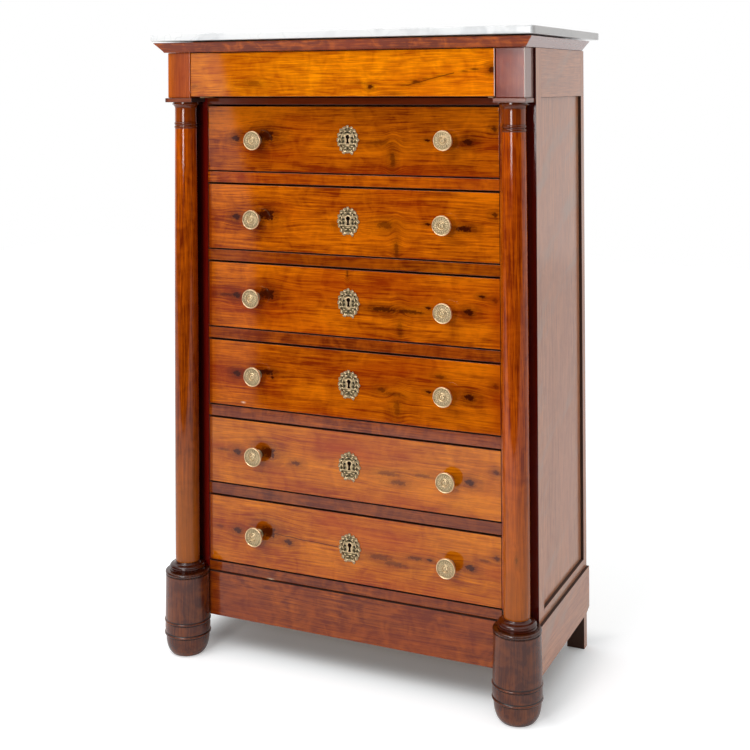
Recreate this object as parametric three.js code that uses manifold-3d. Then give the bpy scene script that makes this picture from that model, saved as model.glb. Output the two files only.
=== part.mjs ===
// A chest of six drawers with brass knobs, a hidden frieze drawer, two front columns and a marble top
import * as THREE from "three";
import { mergeVertices } from "three/addons/utils/BufferGeometryUtils.js";
import Module from "manifold-3d";

const wasm = await Module();
wasm.setup();

// Carcase, in millimetres: X to the right, Y to the back, Z up, with the drawer fronts in the plane Y = 0
const carcaseWidth = 920;
const carcaseDepth = 388;
const floorClearance = 88;
const plinthHeight = 107.5;
const bottomRailHeight = 22.7;
const drawerOpeningHeight = 162.3;
const railHeight = 27.2;
const topRailHeight = 16.5;
const friezeHeight = 110;
const seam = 0.3;
const cutOverrun = 10;
const drawerCount = 6;

// Posts, rails and panels of the two side frames
const frontPostWidth = 84;
const frontPostDepth = 38;
const rearPostWidth = 43;
const rearPostDepth = 25;
const sideRailThickness = 22;
const sidePanelThickness = 9;
const sidePanelRecess = 7;
const panelTongue = 8;

// Plinth boards, which stand proud of the carcase
const plinthThickness = 22;
const plinthProud = 6.5;
const plinthChamferLength = 28;
const plinthChamferHeight = 9;

// Dividers between the drawers: a front rail, a dust board and two drawer guides
const dividerRailDepth = 60;
const dustBoardThickness = 12;
const guideWidth = 18;
const guideHeight = 6;
const guideGap = 1;

// Back panel
const backPanelThickness = 12;
const backPanelInset = 8;
const backPanelFloorGap = 112;

// Frieze blocks and the slabs under them
const columnInset = 40;
const blockWidth = 63.6;
const blockDepth = 59;
const slabHeight = 10;
const slabSideLip = 5.6;
const slabFrontLip = 3.7;

// Cornice, sub-top and marble
const corniceHeight = 23.5;
const corniceProjection = 18;
const corniceFrontLip = 6;
const corniceSideSetback = 0.5;
const corniceSeatDepth = 50;
const corniceRearSetback = 8;
const corniceFootFillet = 2.2;
const corniceTopFillet = 2.6;
const corniceHollow = 1.6;
const corniceSteps = 4;
const subTopShow = 4;
const marbleThickness = 18;
const marbleLip = 6.5;
const marbleRearOverhang = 60;
const marbleCornerRadius = 7;
const marbleArris = 1.5;
const marbleCornerSteps = 3;

// Turned columns
const columnTopRadius = 26.2;
const columnBottomRadius = 29.3;
const columnPostGap = 0.7;
const columnBaseHeight = 20;
const columnBaseRadius = 43;
const columnBaseFillet = 2;
const ringRadius = 28.2;
const ringHeight = 5;
const ringSpacing = 7.5;
const ringDrop = 46;
const echinusRadius = 33.5;
const echinusHeight = 11;
const neckFillet = 3;
const turnedSides = 24;

// Turned front feet
const footRise = 4.5;
const footTopRadius = 52.4;
const footBaseRadius = 54;
const footRimHeight = 6;
const footRimProud = 0.6;
const footGroove = 1.2;
const footBandTop = 83;
const footBandBottom = 47;
const footBandProud = 2;
const footBandLip = 5;
const footBulbInset = 2;
const footContactRadius = 33;

// Drawers
const drawerGap = 0.8;
const drawerFrontThickness = 21;
const drawerRearClearance = 18;
const drawerSideThickness = 13;
const drawerBackThickness = 12;
const drawerBottomThickness = 9;
const drawerBottomRise = 8;
const drawerHeadroom = 14;
const friezeFrontSetback = 0.8;
const friezeFrontLift = 3.5;
const friezeFrontTopGap = 1.4;

// Brass knobs; all the hardware sits a little to the right of the drawers' middle
const hardwareOffset = 4.5;
const knobInset = 131;
const knobRadius = 23;
const knobReach = 29.5;
const knobFlangeRadius = 12;
const knobFlangeThickness = 2;
const knobStemRadius = 7.5;
const knobDiscThickness = 5.5;
const knobRimWidth = 3;
const knobFaceRecess = 1.5;
const knobBossRadius = 8;
const shankRadius = 3.2;
const shankExtra = 6;
const shankNutRadius = 7;
const shankNutThickness = 4;
const knobSides = 14;
const shankHoleSides = 10;

// Pierced brass escutcheons with their keyholes
const escutcheonWidth = 55;
const escutcheonHeight = 67;
const escutcheonThickness = 2;
const escutcheonPoints = 48;
const keyholeRadius = 3.8;
const keyholeSlotWidth = 4.8;
const keyholeHeight = 17.8;
const keyholeTopAboveCentre = 10.4;
const keyholeSteps = 8;
const piercingSteps = 6;

// Levels and edges worked out from the driving sizes
const carcaseHalf = carcaseWidth / 2;
const openingHalf = carcaseHalf - frontPostWidth;
const knobX = openingHalf - knobInset;
const sideInner = carcaseHalf - sideRailThickness;
const plinthTop = floorClearance + plinthHeight;
const lowestOpening = plinthTop + bottomRailHeight;
const drawerPitch = drawerOpeningHeight + railHeight;
const topOpeningTop = lowestOpening + drawerCount * drawerPitch - railHeight;
const friezeBottom = topOpeningTop + topRailHeight;
const corniceBottom = friezeBottom + friezeHeight;
const corniceTop = corniceBottom + corniceHeight;
const carcaseTop = corniceTop + subTopShow;
const footHeight = plinthTop + footRise;
const slabBottom = friezeBottom - slabHeight;
const columnX = carcaseHalf - columnInset;
const columnY = -(columnBottomRadius + columnPostGap);
const blockFront = -(blockDepth + seam);
const corniceSeatX = carcaseHalf - corniceSideSetback;
const corniceSeatY = blockFront - corniceFrontLip;
const marbleHalf = corniceSeatX + corniceProjection + marbleLip;
const marbleFront = corniceSeatY - corniceProjection - marbleLip;
const marbleRear = carcaseDepth + marbleRearOverhang;
const rearPostFront = carcaseDepth - rearPostDepth;

// Finishes
const wood = {
  cherry: { color: 0xa8521c, roughness: 0.35, metalness: 0 },
  frieze: { color: 0xc8701e, roughness: 0.3, metalness: 0 },
  side: { color: 0x9c5c42, roughness: 0.3, metalness: 0 },
  dark: { color: 0x5a2c1e, roughness: 0.4, metalness: 0 },
  inner: { color: 0xb08a5c, roughness: 0.75, metalness: 0 },
};
const brass = { color: 0xb59a5a, roughness: 0.35, metalness: 1 };
const marble = { color: 0xe8e6e2, roughness: 0.25, metalness: 0 };

const semainier = new THREE.Group();
const cabinet = new THREE.Group();
cabinet.position.y = -(marbleFront + marbleRear) / 2;
semainier.add(cabinet);

function addPiece(parent, name, geometry, finish) {
  const piece = new THREE.Mesh(geometry, new THREE.MeshStandardMaterial(finish));
  piece.name = name;
  parent.add(piece);
  return piece;
}

// A box between two corners, given as ranges in any order
function boxBetween(xRange, yRange, zRange) {
  const ranges = [xRange, yRange, zRange];
  const size = ranges.map((range) => Math.abs(range[1] - range[0]));
  const centre = ranges.map((range) => (range[0] + range[1]) / 2);
  return new THREE.BoxGeometry(...size).translate(...centre);
}

function toSolid(geometry) {
  const bare = new THREE.BufferGeometry();
  bare.setAttribute("position", geometry.getAttribute("position"));
  bare.setIndex(geometry.getIndex());
  const merged = mergeVertices(bare);
  const vertProperties = new Float32Array(merged.getAttribute("position").array);
  const corners = [];
  for (let i = 0; i < merged.getIndex().count; i += 3) {
    const [a, b, c] = merged.getIndex().array.slice(i, i + 3);
    if (a !== b && b !== c && c !== a) corners.push(a, b, c);
  }
  const triVerts = new Uint32Array(corners);
  return new wasm.Manifold(new wasm.Mesh({ numProp: 3, vertProperties, triVerts }));
}

function toGeometry(solid) {
  const mesh = solid.getMesh();
  const geometry = new THREE.BufferGeometry();
  geometry.setAttribute("position", new THREE.BufferAttribute(mesh.vertProperties, 3));
  geometry.setIndex(new THREE.BufferAttribute(mesh.triVerts, 1));
  geometry.computeVertexNormals();
  return geometry;
}

// Joins the first group of shapes and takes the second group away
function shaped(joined, removed) {
  const [first, ...others] = joined.map(toSolid);
  const whole = others.reduce((sum, next) => sum.add(next), first);
  return toGeometry(removed.map(toSolid).reduce((rest, cut) => rest.subtract(cut), whole));
}

// A turned piece on the Z axis, from [radius, height] pairs that start and end on the axis
function turned(profile, sides) {
  const points = profile.map(([radius, height]) => new THREE.Vector2(radius, height));
  return new THREE.LatheGeometry(points, sides).rotateX(Math.PI / 2);
}

// The room that a front foot needs in the boards and posts around it
function footRoom(side) {
  const height = footHeight + seam - floorClearance + cutOverrun;
  const topRadius = footTopRadius + footRimProud + seam;
  const room = new THREE.CylinderGeometry(topRadius, footBaseRadius + 2 * seam, height, 2 * turnedSides);
  return room.rotateX(Math.PI / 2).translate(side * columnX, columnY, footHeight + seam - height / 2);
}

const sides = [
  { name: "left", sign: -1 },
  { name: "right", sign: 1 },
];

// Side panels, let into grooves in the side frames
const panelOuter = carcaseHalf - sidePanelRecess;

function panelBox(sign, clearance) {
  return boxBetween(
    [sign * (panelOuter - sidePanelThickness - clearance), sign * (panelOuter + clearance)],
    [frontPostDepth - panelTongue - clearance, rearPostFront + panelTongue + clearance],
    [lowestOpening - panelTongue - clearance, friezeBottom + panelTongue + clearance],
  );
}

// Side frames: the front post, the rear post that is also the rear foot, and two rails
function sideFrame(sign) {
  const outer = sign * carcaseHalf;
  const top = corniceBottom - seam;
  const railRun = [frontPostDepth / 2, carcaseDepth - rearPostDepth / 2];
  const railAcross = [sign * sideInner, outer];
  const frontPost = boxBetween([sign * openingHalf, outer], [0, frontPostDepth], [plinthTop + seam, top]);
  const rearAcross = [outer - sign * rearPostWidth, outer];
  const rearPost = boxBetween(rearAcross, [rearPostFront, carcaseDepth], [0, top]);
  const topRail = boxBetween(railAcross, railRun, [friezeBottom, top]);
  const bottomRail = boxBetween(railAcross, railRun, [plinthTop + seam, lowestOpening]);
  return shaped([frontPost, rearPost, topRail, bottomRail], [panelBox(sign, seam), footRoom(sign)]);
}

for (const { name, sign } of sides) {
  addPiece(cabinet, `side_frame_${name}`, sideFrame(sign), wood.side);
  addPiece(cabinet, `side_panel_${name}`, panelBox(sign, 0), wood.side);
}

// Plinth: a front board and two side boards that butt against the turned feet
const plinthOuterX = carcaseHalf + plinthProud;
const plinthInnerX = plinthOuterX - plinthThickness;
const plinthLevels = [floorClearance, plinthTop];

function plinthSide(sign) {
  const outline = new THREE.Shape();
  outline.moveTo(0, floorClearance);
  outline.lineTo(carcaseDepth - plinthChamferLength, floorClearance);
  outline.lineTo(carcaseDepth, floorClearance + plinthChamferHeight);
  outline.lineTo(carcaseDepth, plinthTop);
  outline.lineTo(columnY, plinthTop);
  outline.lineTo(columnY, floorClearance);
  const board = new THREE.ExtrudeGeometry(outline, { depth: plinthThickness, bevelEnabled: false });
  board.rotateX(Math.PI / 2).rotateZ(Math.PI / 2);
  board.translate(sign * (plinthOuterX + plinthInnerX) / 2 - plinthThickness / 2, 0, 0);
  const postRoom = boxBetween(
    [sign * (plinthInnerX - cutOverrun), sign * (carcaseHalf + seam)],
    [rearPostFront - seam, carcaseDepth + cutOverrun],
    [floorClearance - cutOverrun, plinthTop + cutOverrun],
  );
  return shaped([mergeVertices(board)], [footRoom(sign), postRoom]);
}

function plinthFront() {
  const across = [-columnX, columnX];
  const board = boxBetween(across, [-plinthProud, plinthThickness - plinthProud], plinthLevels);
  return shaped([board], [footRoom(-1), footRoom(1)]);
}

addPiece(cabinet, "plinth_front", plinthFront(), wood.cherry);
for (const { name, sign } of sides) {
  addPiece(cabinet, `plinth_${name}`, plinthSide(sign), wood.side);
}

// Back panel between the rear posts
const backPanelHalf = carcaseHalf - rearPostWidth - seam;
const backPanelRear = carcaseDepth - backPanelInset;
const backPanelFront = backPanelRear - backPanelThickness;
const backPanelLevels = [backPanelFloorGap, corniceBottom - seam];
const backPanelAcross = [-backPanelHalf, backPanelHalf];
const backPanel = boxBetween(backPanelAcross, [backPanelFront, backPanelRear], backPanelLevels);
addPiece(cabinet, "back_panel", backPanel, wood.inner);

// Dividers, numbered from the one under the frieze drawer down to the bottom rail
function divider(bottom, top, removed = []) {
  const railHalf = openingHalf - seam;
  const boardHalf = sideInner - seam;
  const boardRun = [frontPostDepth + seam, rearPostFront - seam];
  const rail = boxBetween([-railHalf, railHalf], [0, dividerRailDepth], [bottom, top]);
  const board = boxBetween([-boardHalf, boardHalf], boardRun, [top - dustBoardThickness, top]);
  const guides = sides.map(({ sign }) => {
    const inner = openingHalf + guideGap;
    const across = [sign * inner, sign * (inner + guideWidth)];
    return boxBetween(across, boardRun, [top - dustBoardThickness / 2, top + guideHeight]);
  });
  return shaped([rail, board, ...guides], removed);
}

addPiece(cabinet, "drawer_divider_1", divider(topOpeningTop, friezeBottom), wood.cherry);
for (let row = 1; row < drawerCount; row += 1) {
  const top = topOpeningTop - row * drawerPitch + railHeight;
  addPiece(cabinet, `drawer_divider_${row + 1}`, divider(top - railHeight, top), wood.cherry);
}
const lowestDivider = divider(plinthTop + seam, lowestOpening, [footRoom(-1), footRoom(1)]);
addPiece(cabinet, `drawer_divider_${drawerCount + 1}`, lowestDivider, wood.cherry);

// Frieze blocks, slabs, columns and feet at the two front corners
function frontFoot() {
  const grooveTop = footHeight - footRimHeight;
  const bulbTop = footBandBottom - footGroove;
  const bulbRadius = footBaseRadius - footBulbInset;
  const bulbHeightShares = [0.06, 0.2, 0.45, 0.68, 0.86, 1];
  const bulbRadiusShares = [0.16, 0.42, 0.8, 0.95, 0.99, 1];
  const bulbDepth = bulbRadius - footContactRadius;
  return turned([
    [0, 0],
    [footContactRadius, 0],
    ...bulbRadiusShares.map((share, i) => [
      footContactRadius + bulbDepth * share,
      bulbTop * bulbHeightShares[i],
    ]),
    [footBaseRadius, footBandBottom],
    [footBaseRadius + footBandProud, footBandBottom + footBandLip / 2],
    [footBaseRadius, footBandBottom + footBandLip],
    [footBaseRadius, footBandTop - footBandLip],
    [footBaseRadius + footBandProud, footBandTop - footBandLip / 2],
    [footBaseRadius, footBandTop],
    [footTopRadius, grooveTop - footGroove],
    [footTopRadius - footGroove, grooveTop],
    [footTopRadius + footRimProud, grooveTop + footRimHeight / 3],
    [footTopRadius + footRimProud, footHeight - footRimHeight / 4],
    [footTopRadius - footRimHeight / 2, footHeight],
    [0, footHeight],
  ], turnedSides);
}

// The moulded base, the tapering shaft, two rings under the neck and the flared capital
function columnTurning() {
  const bottom = footHeight + seam;
  const top = slabBottom - seam;
  const baseTop = bottom + columnBaseHeight;
  const capitalBottom = top - neckFillet - echinusHeight;
  const upperRing = capitalBottom - ringDrop + ringSpacing;
  const lowerRing = capitalBottom - ringDrop;
  const base = columnBaseRadius - columnBottomRadius;
  const baseRadiusShares = [0.78, 0.96, 0.98, 0.72, 0.32, 0.1, 0];
  const baseHeightShares = [0.1, 0.24, 0.44, 0.66, 0.74, 0.86, 1];
  const ring = (level) => [
    [columnTopRadius, level - ringHeight / 2],
    [ringRadius, level - ringHeight / 5],
    [ringRadius, level + ringHeight / 5],
    [columnTopRadius, level + ringHeight / 2],
  ];
  return turned([
    [0, bottom],
    [columnBaseRadius, bottom],
    [columnBaseRadius, bottom + columnBaseFillet],
    ...baseRadiusShares.map((share, i) => [
      columnBottomRadius + base * share,
      bottom + columnBaseFillet + (columnBaseHeight - columnBaseFillet) * baseHeightShares[i],
    ]),
    [columnBottomRadius, baseTop + columnBaseFillet],
    ...ring(lowerRing),
    ...ring(upperRing),
    [columnTopRadius, capitalBottom],
    [columnTopRadius + (echinusRadius - columnTopRadius) / 4, capitalBottom + echinusHeight / 2],
    [echinusRadius, top - neckFillet],
    [echinusRadius - neckFillet, top - neckFillet],
    [echinusRadius - neckFillet, top],
    [0, top],
  ], turnedSides);
}

// The base and the capital are cut flat at the back, where they meet the post
function column() {
  const widest = columnBaseRadius + cutOverrun;
  const postFace = -seam - columnY;
  const levels = [footHeight - cutOverrun, slabBottom + cutOverrun];
  const behind = boxBetween([-widest, widest], [postFace, postFace + widest], levels);
  return shaped([columnTurning()], [behind]);
}

for (const { name, sign } of sides) {
  const x = sign * columnX;
  const blockAcross = [x - blockWidth / 2, x + blockWidth / 2];
  const block = boxBetween(blockAcross, [blockFront, -seam], [friezeBottom + seam, corniceBottom - seam]);
  addPiece(cabinet, `frieze_block_${name}`, block, wood.cherry);
  const slabAcross = [x - blockWidth / 2 - slabSideLip, x + blockWidth / 2 + slabSideLip];
  const slab = boxBetween(slabAcross, [blockFront - slabFrontLip, -seam], [slabBottom, friezeBottom]);
  addPiece(cabinet, `capital_slab_${name}`, slab, wood.cherry);
  addPiece(cabinet, `column_${name}`, column(), wood.cherry).position.set(x, columnY, 0);
  addPiece(cabinet, `front_foot_${name}`, frontFoot(), wood.dark).position.set(x, columnY, 0);
}

// Cornice section as [outwards, upwards] from the foot of its outer face
function corniceSection() {
  const rise = corniceHeight - corniceFootFillet - corniceTopFillet;
  const points = [
    [-corniceSeatDepth, 0],
    [0, 0],
    [0, corniceFootFillet],
  ];
  for (let step = 1; step <= corniceSteps; step += 1) {
    const share = step / corniceSteps;
    const hollow = corniceHollow * Math.sin(Math.PI * share);
    points.push([corniceProjection * share - hollow, corniceFootFillet + rise * share]);
  }
  points.push([corniceProjection, corniceHeight], [-corniceSeatDepth, corniceHeight]);
  return new THREE.Shape(points.map(([out, up]) => new THREE.Vector2(out, up)));
}

// A run of cornice with its ends given for each outward distance, so that they meet in mitres
function corniceRun(startAt, endAt, outwards, origin) {
  const run = new THREE.ExtrudeGeometry(corniceSection(), { depth: 1, bevelEnabled: false });
  const place = run.getAttribute("position");
  for (let i = 0; i < place.count; i += 1) {
    const out = place.getX(i);
    place.setZ(i, THREE.MathUtils.lerp(startAt(out), endAt(out), place.getZ(i)));
  }
  const up = new THREE.Vector3(0, 0, 1);
  const along = new THREE.Vector3().crossVectors(outwards, up);
  run.applyMatrix4(new THREE.Matrix4().makeBasis(outwards, up, along));
  run.computeVertexNormals();
  return run.translate(...origin);
}

// The side runs stop short of the front run by one seam, measured square to the mitre
const mitreGap = seam * Math.SQRT2;
const frontRun = corniceRun(
  (out) => -(corniceSeatX + out),
  (out) => corniceSeatX + out,
  new THREE.Vector3(0, -1, 0),
  [0, corniceSeatY, corniceBottom],
);
addPiece(cabinet, "cornice_front", frontRun, wood.cherry);
for (const { name, sign } of sides) {
  const rear = sign * (corniceRearSetback - carcaseDepth);
  const front = (out) => sign * (out - corniceSeatY - mitreGap);
  const ends = sign > 0 ? [() => rear, front] : [front, () => rear];
  const outwards = new THREE.Vector3(sign, 0, 0);
  const run = corniceRun(...ends, outwards, [sign * corniceSeatX, 0, corniceBottom]);
  addPiece(cabinet, `cornice_${name}`, run, wood.side);
}

// Sub-top inside the cornice, which carries the marble
const subTopHalf = corniceSeatX - corniceSeatDepth - seam;
const subTopFront = corniceSeatY + corniceSeatDepth + seam;
const subTopLevels = [corniceBottom, carcaseTop - seam];
const subTop = boxBetween([-subTopHalf, subTopHalf], [subTopFront, carcaseDepth], subTopLevels);
addPiece(cabinet, "carcase_top", subTop, wood.inner);

// Marble slab with eased corners and arrises
function marbleSlab() {
  const half = marbleHalf - marbleArris;
  const front = marbleFront + marbleArris;
  const rear = marbleRear - marbleArris;
  const radius = marbleCornerRadius;
  const outline = new THREE.Shape();
  outline.moveTo(-half + radius, front);
  outline.lineTo(half - radius, front);
  outline.absarc(half - radius, front + radius, radius, -Math.PI / 2, 0);
  outline.lineTo(half, rear - radius);
  outline.absarc(half - radius, rear - radius, radius, 0, Math.PI / 2);
  outline.lineTo(-half + radius, rear);
  outline.absarc(-half + radius, rear - radius, radius, Math.PI / 2, Math.PI);
  outline.lineTo(-half, front + radius);
  outline.absarc(-half + radius, front + radius, radius, Math.PI, Math.PI * 1.5);
  const slab = new THREE.ExtrudeGeometry(outline, {
    depth: marbleThickness - 2 * marbleArris,
    bevelThickness: marbleArris,
    bevelSize: marbleArris,
    bevelSegments: 1,
    curveSegments: marbleCornerSteps,
  });
  return slab.translate(0, 0, carcaseTop + marbleArris);
}
addPiece(cabinet, "marble_top", marbleSlab(), marble);

// Keyhole outline as a path: a round head over a straight slot
function keyholePath() {
  const path = new THREE.Path();
  const half = keyholeSlotWidth / 2;
  const centre = keyholeTopAboveCentre - keyholeRadius;
  const opening = Math.asin(half / keyholeRadius);
  const bottom = keyholeTopAboveCentre - keyholeHeight;
  path.moveTo(-half, bottom);
  path.lineTo(half, bottom);
  path.absarc(0, centre, keyholeRadius, opening - Math.PI / 2, Math.PI * 1.5 - opening);
  return path;
}

// Drawer front with the keyhole and the two holes for the knobs' shanks
function drawerFront() {
  const half = openingHalf - drawerGap;
  const low = drawerGap;
  const high = drawerOpeningHeight - drawerGap;
  const outline = new THREE.Shape();
  outline.moveTo(-half, low).lineTo(half, low).lineTo(half, high).lineTo(-half, high);
  const centre = drawerOpeningHeight / 2;
  const keyhole = keyholePath().getPoints(keyholeSteps);
  const middle = new THREE.Vector2(hardwareOffset, centre);
  outline.holes.push(new THREE.Path(keyhole.map((point) => point.add(middle))));
  for (const { sign } of sides) {
    const hole = new THREE.Path();
    const across = hardwareOffset + sign * knobX;
    hole.absarc(across, centre, shankRadius + seam, 0, Math.PI * 2);
    outline.holes.push(new THREE.Path(hole.getSpacedPoints(shankHoleSides).slice(0, shankHoleSides)));
  }
  const front = new THREE.ExtrudeGeometry(outline, { depth: drawerFrontThickness, bevelEnabled: false });
  return front.rotateX(Math.PI / 2).translate(0, drawerFrontThickness, 0);
}

// Drawer box: two sides, a back and a raised bottom, open at the front where the drawer front closes it
function drawerBox(frontY, height) {
  const half = openingHalf - drawerGap;
  const rear = backPanelFront - drawerRearClearance;
  const run = [frontY + seam, rear];
  const levels = [seam, seam + height];
  const wallInner = half - drawerSideThickness;
  const walls = sides.map(({ sign }) => boxBetween([sign * wallInner, sign * half], run, levels));
  const backRun = [rear - drawerBackThickness, rear];
  const across = [-half + drawerSideThickness / 2, half - drawerSideThickness / 2];
  const back = boxBetween(across, backRun, levels);
  const bottomLow = seam + drawerBottomRise;
  const bottomLevels = [bottomLow, bottomLow + drawerBottomThickness];
  const bottomRun = [run[0], rear - drawerBackThickness / 2];
  const bottom = boxBetween(across, bottomRun, bottomLevels);
  return shaped([...walls, back, bottom], []);
}

// Knob turned about its shank, from the shank's end and its nut behind the drawer front to the knob's face
function knob() {
  const discBack = knobReach - knobDiscThickness;
  const face = knobReach - knobFaceRecess;
  const shankEnd = -(drawerFrontThickness + shankExtra);
  const nutFace = -(drawerFrontThickness + 2 * seam);
  return turned([
    [0, shankEnd],
    [shankRadius, shankEnd],
    [shankRadius, nutFace - shankNutThickness],
    [shankNutRadius, nutFace - shankNutThickness],
    [shankNutRadius, nutFace],
    [shankRadius, nutFace],
    [shankRadius, 0],
    [knobFlangeRadius, 0],
    [knobFlangeRadius, knobFlangeThickness],
    [knobStemRadius, knobFlangeThickness * 2],
    [knobStemRadius, discBack - knobDiscThickness],
    [knobRadius - knobRimWidth, discBack - knobDiscThickness / 4],
    [knobRadius, discBack + knobDiscThickness / 4],
    [knobRadius - knobRimWidth / 4, face],
    [knobRadius - knobRimWidth, face],
    [knobRadius - knobRimWidth, face - knobFaceRecess],
    [knobBossRadius, face - knobFaceRecess],
    [0, knobReach],
  ], knobSides).rotateX(Math.PI / 2);
}

// Outline of the escutcheon: a leafy oval with two ribbon ends at its foot
function escutcheonOutline() {
  const lobes = 12;
  const lobeShare = 0.045;
  const ribbonShare = 0.13;
  const ribbonSpread = 0.2;
  const ribbonAngle = 0.42;
  const points = [];
  for (let i = 0; i < escutcheonPoints; i += 1) {
    const angle = (Math.PI * 2 * i) / escutcheonPoints;
    const fromFoot = Math.abs(Math.atan2(Math.cos(angle), -Math.sin(angle)));
    const ribbon = ribbonShare * Math.exp(-(((fromFoot - ribbonAngle) / ribbonSpread) ** 2));
    const radius = 1 - lobeShare + lobeShare * Math.cos(lobes * (angle - Math.PI / 2)) + ribbon;
    const x = (escutcheonWidth / 2) * radius * Math.cos(angle);
    const y = (escutcheonHeight / 2) * radius * Math.sin(angle);
    points.push(new THREE.Vector2(x, y));
  }
  return new THREE.Shape(points);
}

// Piercings as shares of the half width and half height: middle, radii and tilt
const piercingShares = [
  { x: 0, y: 0.56, rx: 0.2, ry: 0.045, tilt: 0 },
  { x: -0.18, y: 0.75, rx: 0.09, ry: 0.045, tilt: 0.4 },
  { x: 0.18, y: 0.75, rx: 0.09, ry: 0.045, tilt: -0.4 },
  { x: -0.5, y: 0.13, rx: 0.07, ry: 0.06, tilt: 0 },
  { x: 0.5, y: 0.13, rx: 0.07, ry: 0.06, tilt: 0 },
  { x: -0.45, y: -0.1, rx: 0.06, ry: 0.1, tilt: -0.5 },
  { x: 0.45, y: -0.1, rx: 0.06, ry: 0.1, tilt: 0.5 },
  { x: 0, y: -0.5, rx: 0.05, ry: 0.08, tilt: 0 },
  { x: -0.22, y: -0.55, rx: 0.05, ry: 0.08, tilt: 0.5 },
  { x: 0.22, y: -0.55, rx: 0.05, ry: 0.08, tilt: -0.5 },
  { x: -0.62, y: 0.5, rx: 0.06, ry: 0.09, tilt: -0.6 },
  { x: 0.62, y: 0.5, rx: 0.06, ry: 0.09, tilt: 0.6 },
];

function piercing(share) {
  const path = new THREE.Path();
  const halfWidth = escutcheonWidth / 2;
  const halfHeight = escutcheonHeight / 2;
  const across = halfWidth * share.rx;
  const upright = halfHeight * share.ry;
  const [x, y] = [halfWidth * share.x, halfHeight * share.y];
  path.absellipse(x, y, across, upright, 0, Math.PI * 2, false, share.tilt);
  return new THREE.Path(path.getPoints(piercingSteps).slice(0, piercingSteps));
}

function escutcheon() {
  const plate = escutcheonOutline();
  plate.holes.push(new THREE.Path(keyholePath().getPoints(keyholeSteps)));
  plate.holes.push(...piercingShares.map(piercing));
  const solid = new THREE.ExtrudeGeometry(plate, { depth: escutcheonThickness, bevelEnabled: false });
  return solid.rotateX(Math.PI / 2);
}

// The six drawers, numbered from the top
for (let row = 1; row <= drawerCount; row += 1) {
  const drawer = new THREE.Group();
  drawer.position.z = topOpeningTop + railHeight - row * drawerPitch;
  cabinet.add(drawer);
  addPiece(drawer, `drawer_front_${row}`, drawerFront(), wood.cherry);
  const box = drawerBox(drawerFrontThickness, drawerOpeningHeight - drawerHeadroom);
  addPiece(drawer, `drawer_box_${row}`, box, wood.inner);
  const centre = drawerOpeningHeight / 2;
  addPiece(drawer, `escutcheon_${row}`, escutcheon(), brass).position.set(hardwareOffset, -seam, centre);
  for (const { name, sign } of sides) {
    const place = [hardwareOffset + sign * knobX, -seam, centre];
    addPiece(drawer, `knob_${name}_${row}`, knob(), brass).position.set(...place);
  }
}

// The frieze drawer, without knobs, whose front lies between the blocks
function friezeFront() {
  const half = columnX - blockWidth / 2 - drawerGap;
  const face = blockFront + friezeFrontSetback;
  const levels = [friezeBottom + friezeFrontLift, corniceBottom - friezeFrontTopGap];
  return boxBetween([-half, half], [face, face + drawerFrontThickness], levels);
}

const friezeDrawer = new THREE.Group();
cabinet.add(friezeDrawer);
addPiece(friezeDrawer, "frieze_drawer_front", friezeFront(), wood.frieze);
const friezeBoxFront = blockFront + friezeFrontSetback + drawerFrontThickness;
const friezeBox = drawerBox(friezeBoxFront, friezeHeight - drawerHeadroom);
addPiece(friezeDrawer, "frieze_drawer_box", friezeBox, wood.inner).position.z = friezeBottom;

export default semainier;
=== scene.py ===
"""Looks of a tall chest of drawers: polished wood, turned columns and feet, brass and a marble top."""

import math
import random

import bpy
from mathutils import Matrix, Vector


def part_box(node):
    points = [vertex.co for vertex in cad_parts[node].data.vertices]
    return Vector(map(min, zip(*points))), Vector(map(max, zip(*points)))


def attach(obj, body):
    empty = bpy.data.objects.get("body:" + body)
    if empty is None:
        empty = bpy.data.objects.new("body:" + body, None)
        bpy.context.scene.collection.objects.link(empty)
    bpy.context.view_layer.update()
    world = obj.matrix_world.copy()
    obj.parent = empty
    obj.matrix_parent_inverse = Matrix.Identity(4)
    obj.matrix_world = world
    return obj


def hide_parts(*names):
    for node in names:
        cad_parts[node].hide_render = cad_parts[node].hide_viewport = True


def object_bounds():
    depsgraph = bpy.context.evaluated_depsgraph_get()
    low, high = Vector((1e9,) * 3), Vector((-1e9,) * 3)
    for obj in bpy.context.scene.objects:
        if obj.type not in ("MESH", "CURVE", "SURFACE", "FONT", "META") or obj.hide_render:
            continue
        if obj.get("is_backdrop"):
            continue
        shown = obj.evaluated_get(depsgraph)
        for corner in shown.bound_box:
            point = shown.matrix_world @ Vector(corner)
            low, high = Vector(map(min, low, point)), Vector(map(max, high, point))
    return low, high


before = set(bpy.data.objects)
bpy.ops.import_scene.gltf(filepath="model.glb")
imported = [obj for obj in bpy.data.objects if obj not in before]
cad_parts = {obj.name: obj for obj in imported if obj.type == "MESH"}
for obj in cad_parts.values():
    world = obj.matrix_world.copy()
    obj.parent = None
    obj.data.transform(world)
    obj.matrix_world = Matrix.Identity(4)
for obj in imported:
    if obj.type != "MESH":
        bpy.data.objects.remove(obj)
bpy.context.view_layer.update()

MM = 0.001
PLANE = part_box("drawer_front_1")[0].y
ACROSS, DEEP, UP = 0, 1, 2


def at(x, y, z):
    """A point in millimetres from the middle of the drawers' faces, above the floor, as metres."""
    return Vector((x * MM, PLANE + y * MM, z * MM))


def new_object(name, data):
    thing = bpy.data.objects.new(name, data)
    bpy.context.scene.collection.objects.link(thing)
    return thing


bpy.context.scene.view_settings.view_transform = "Standard"


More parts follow.
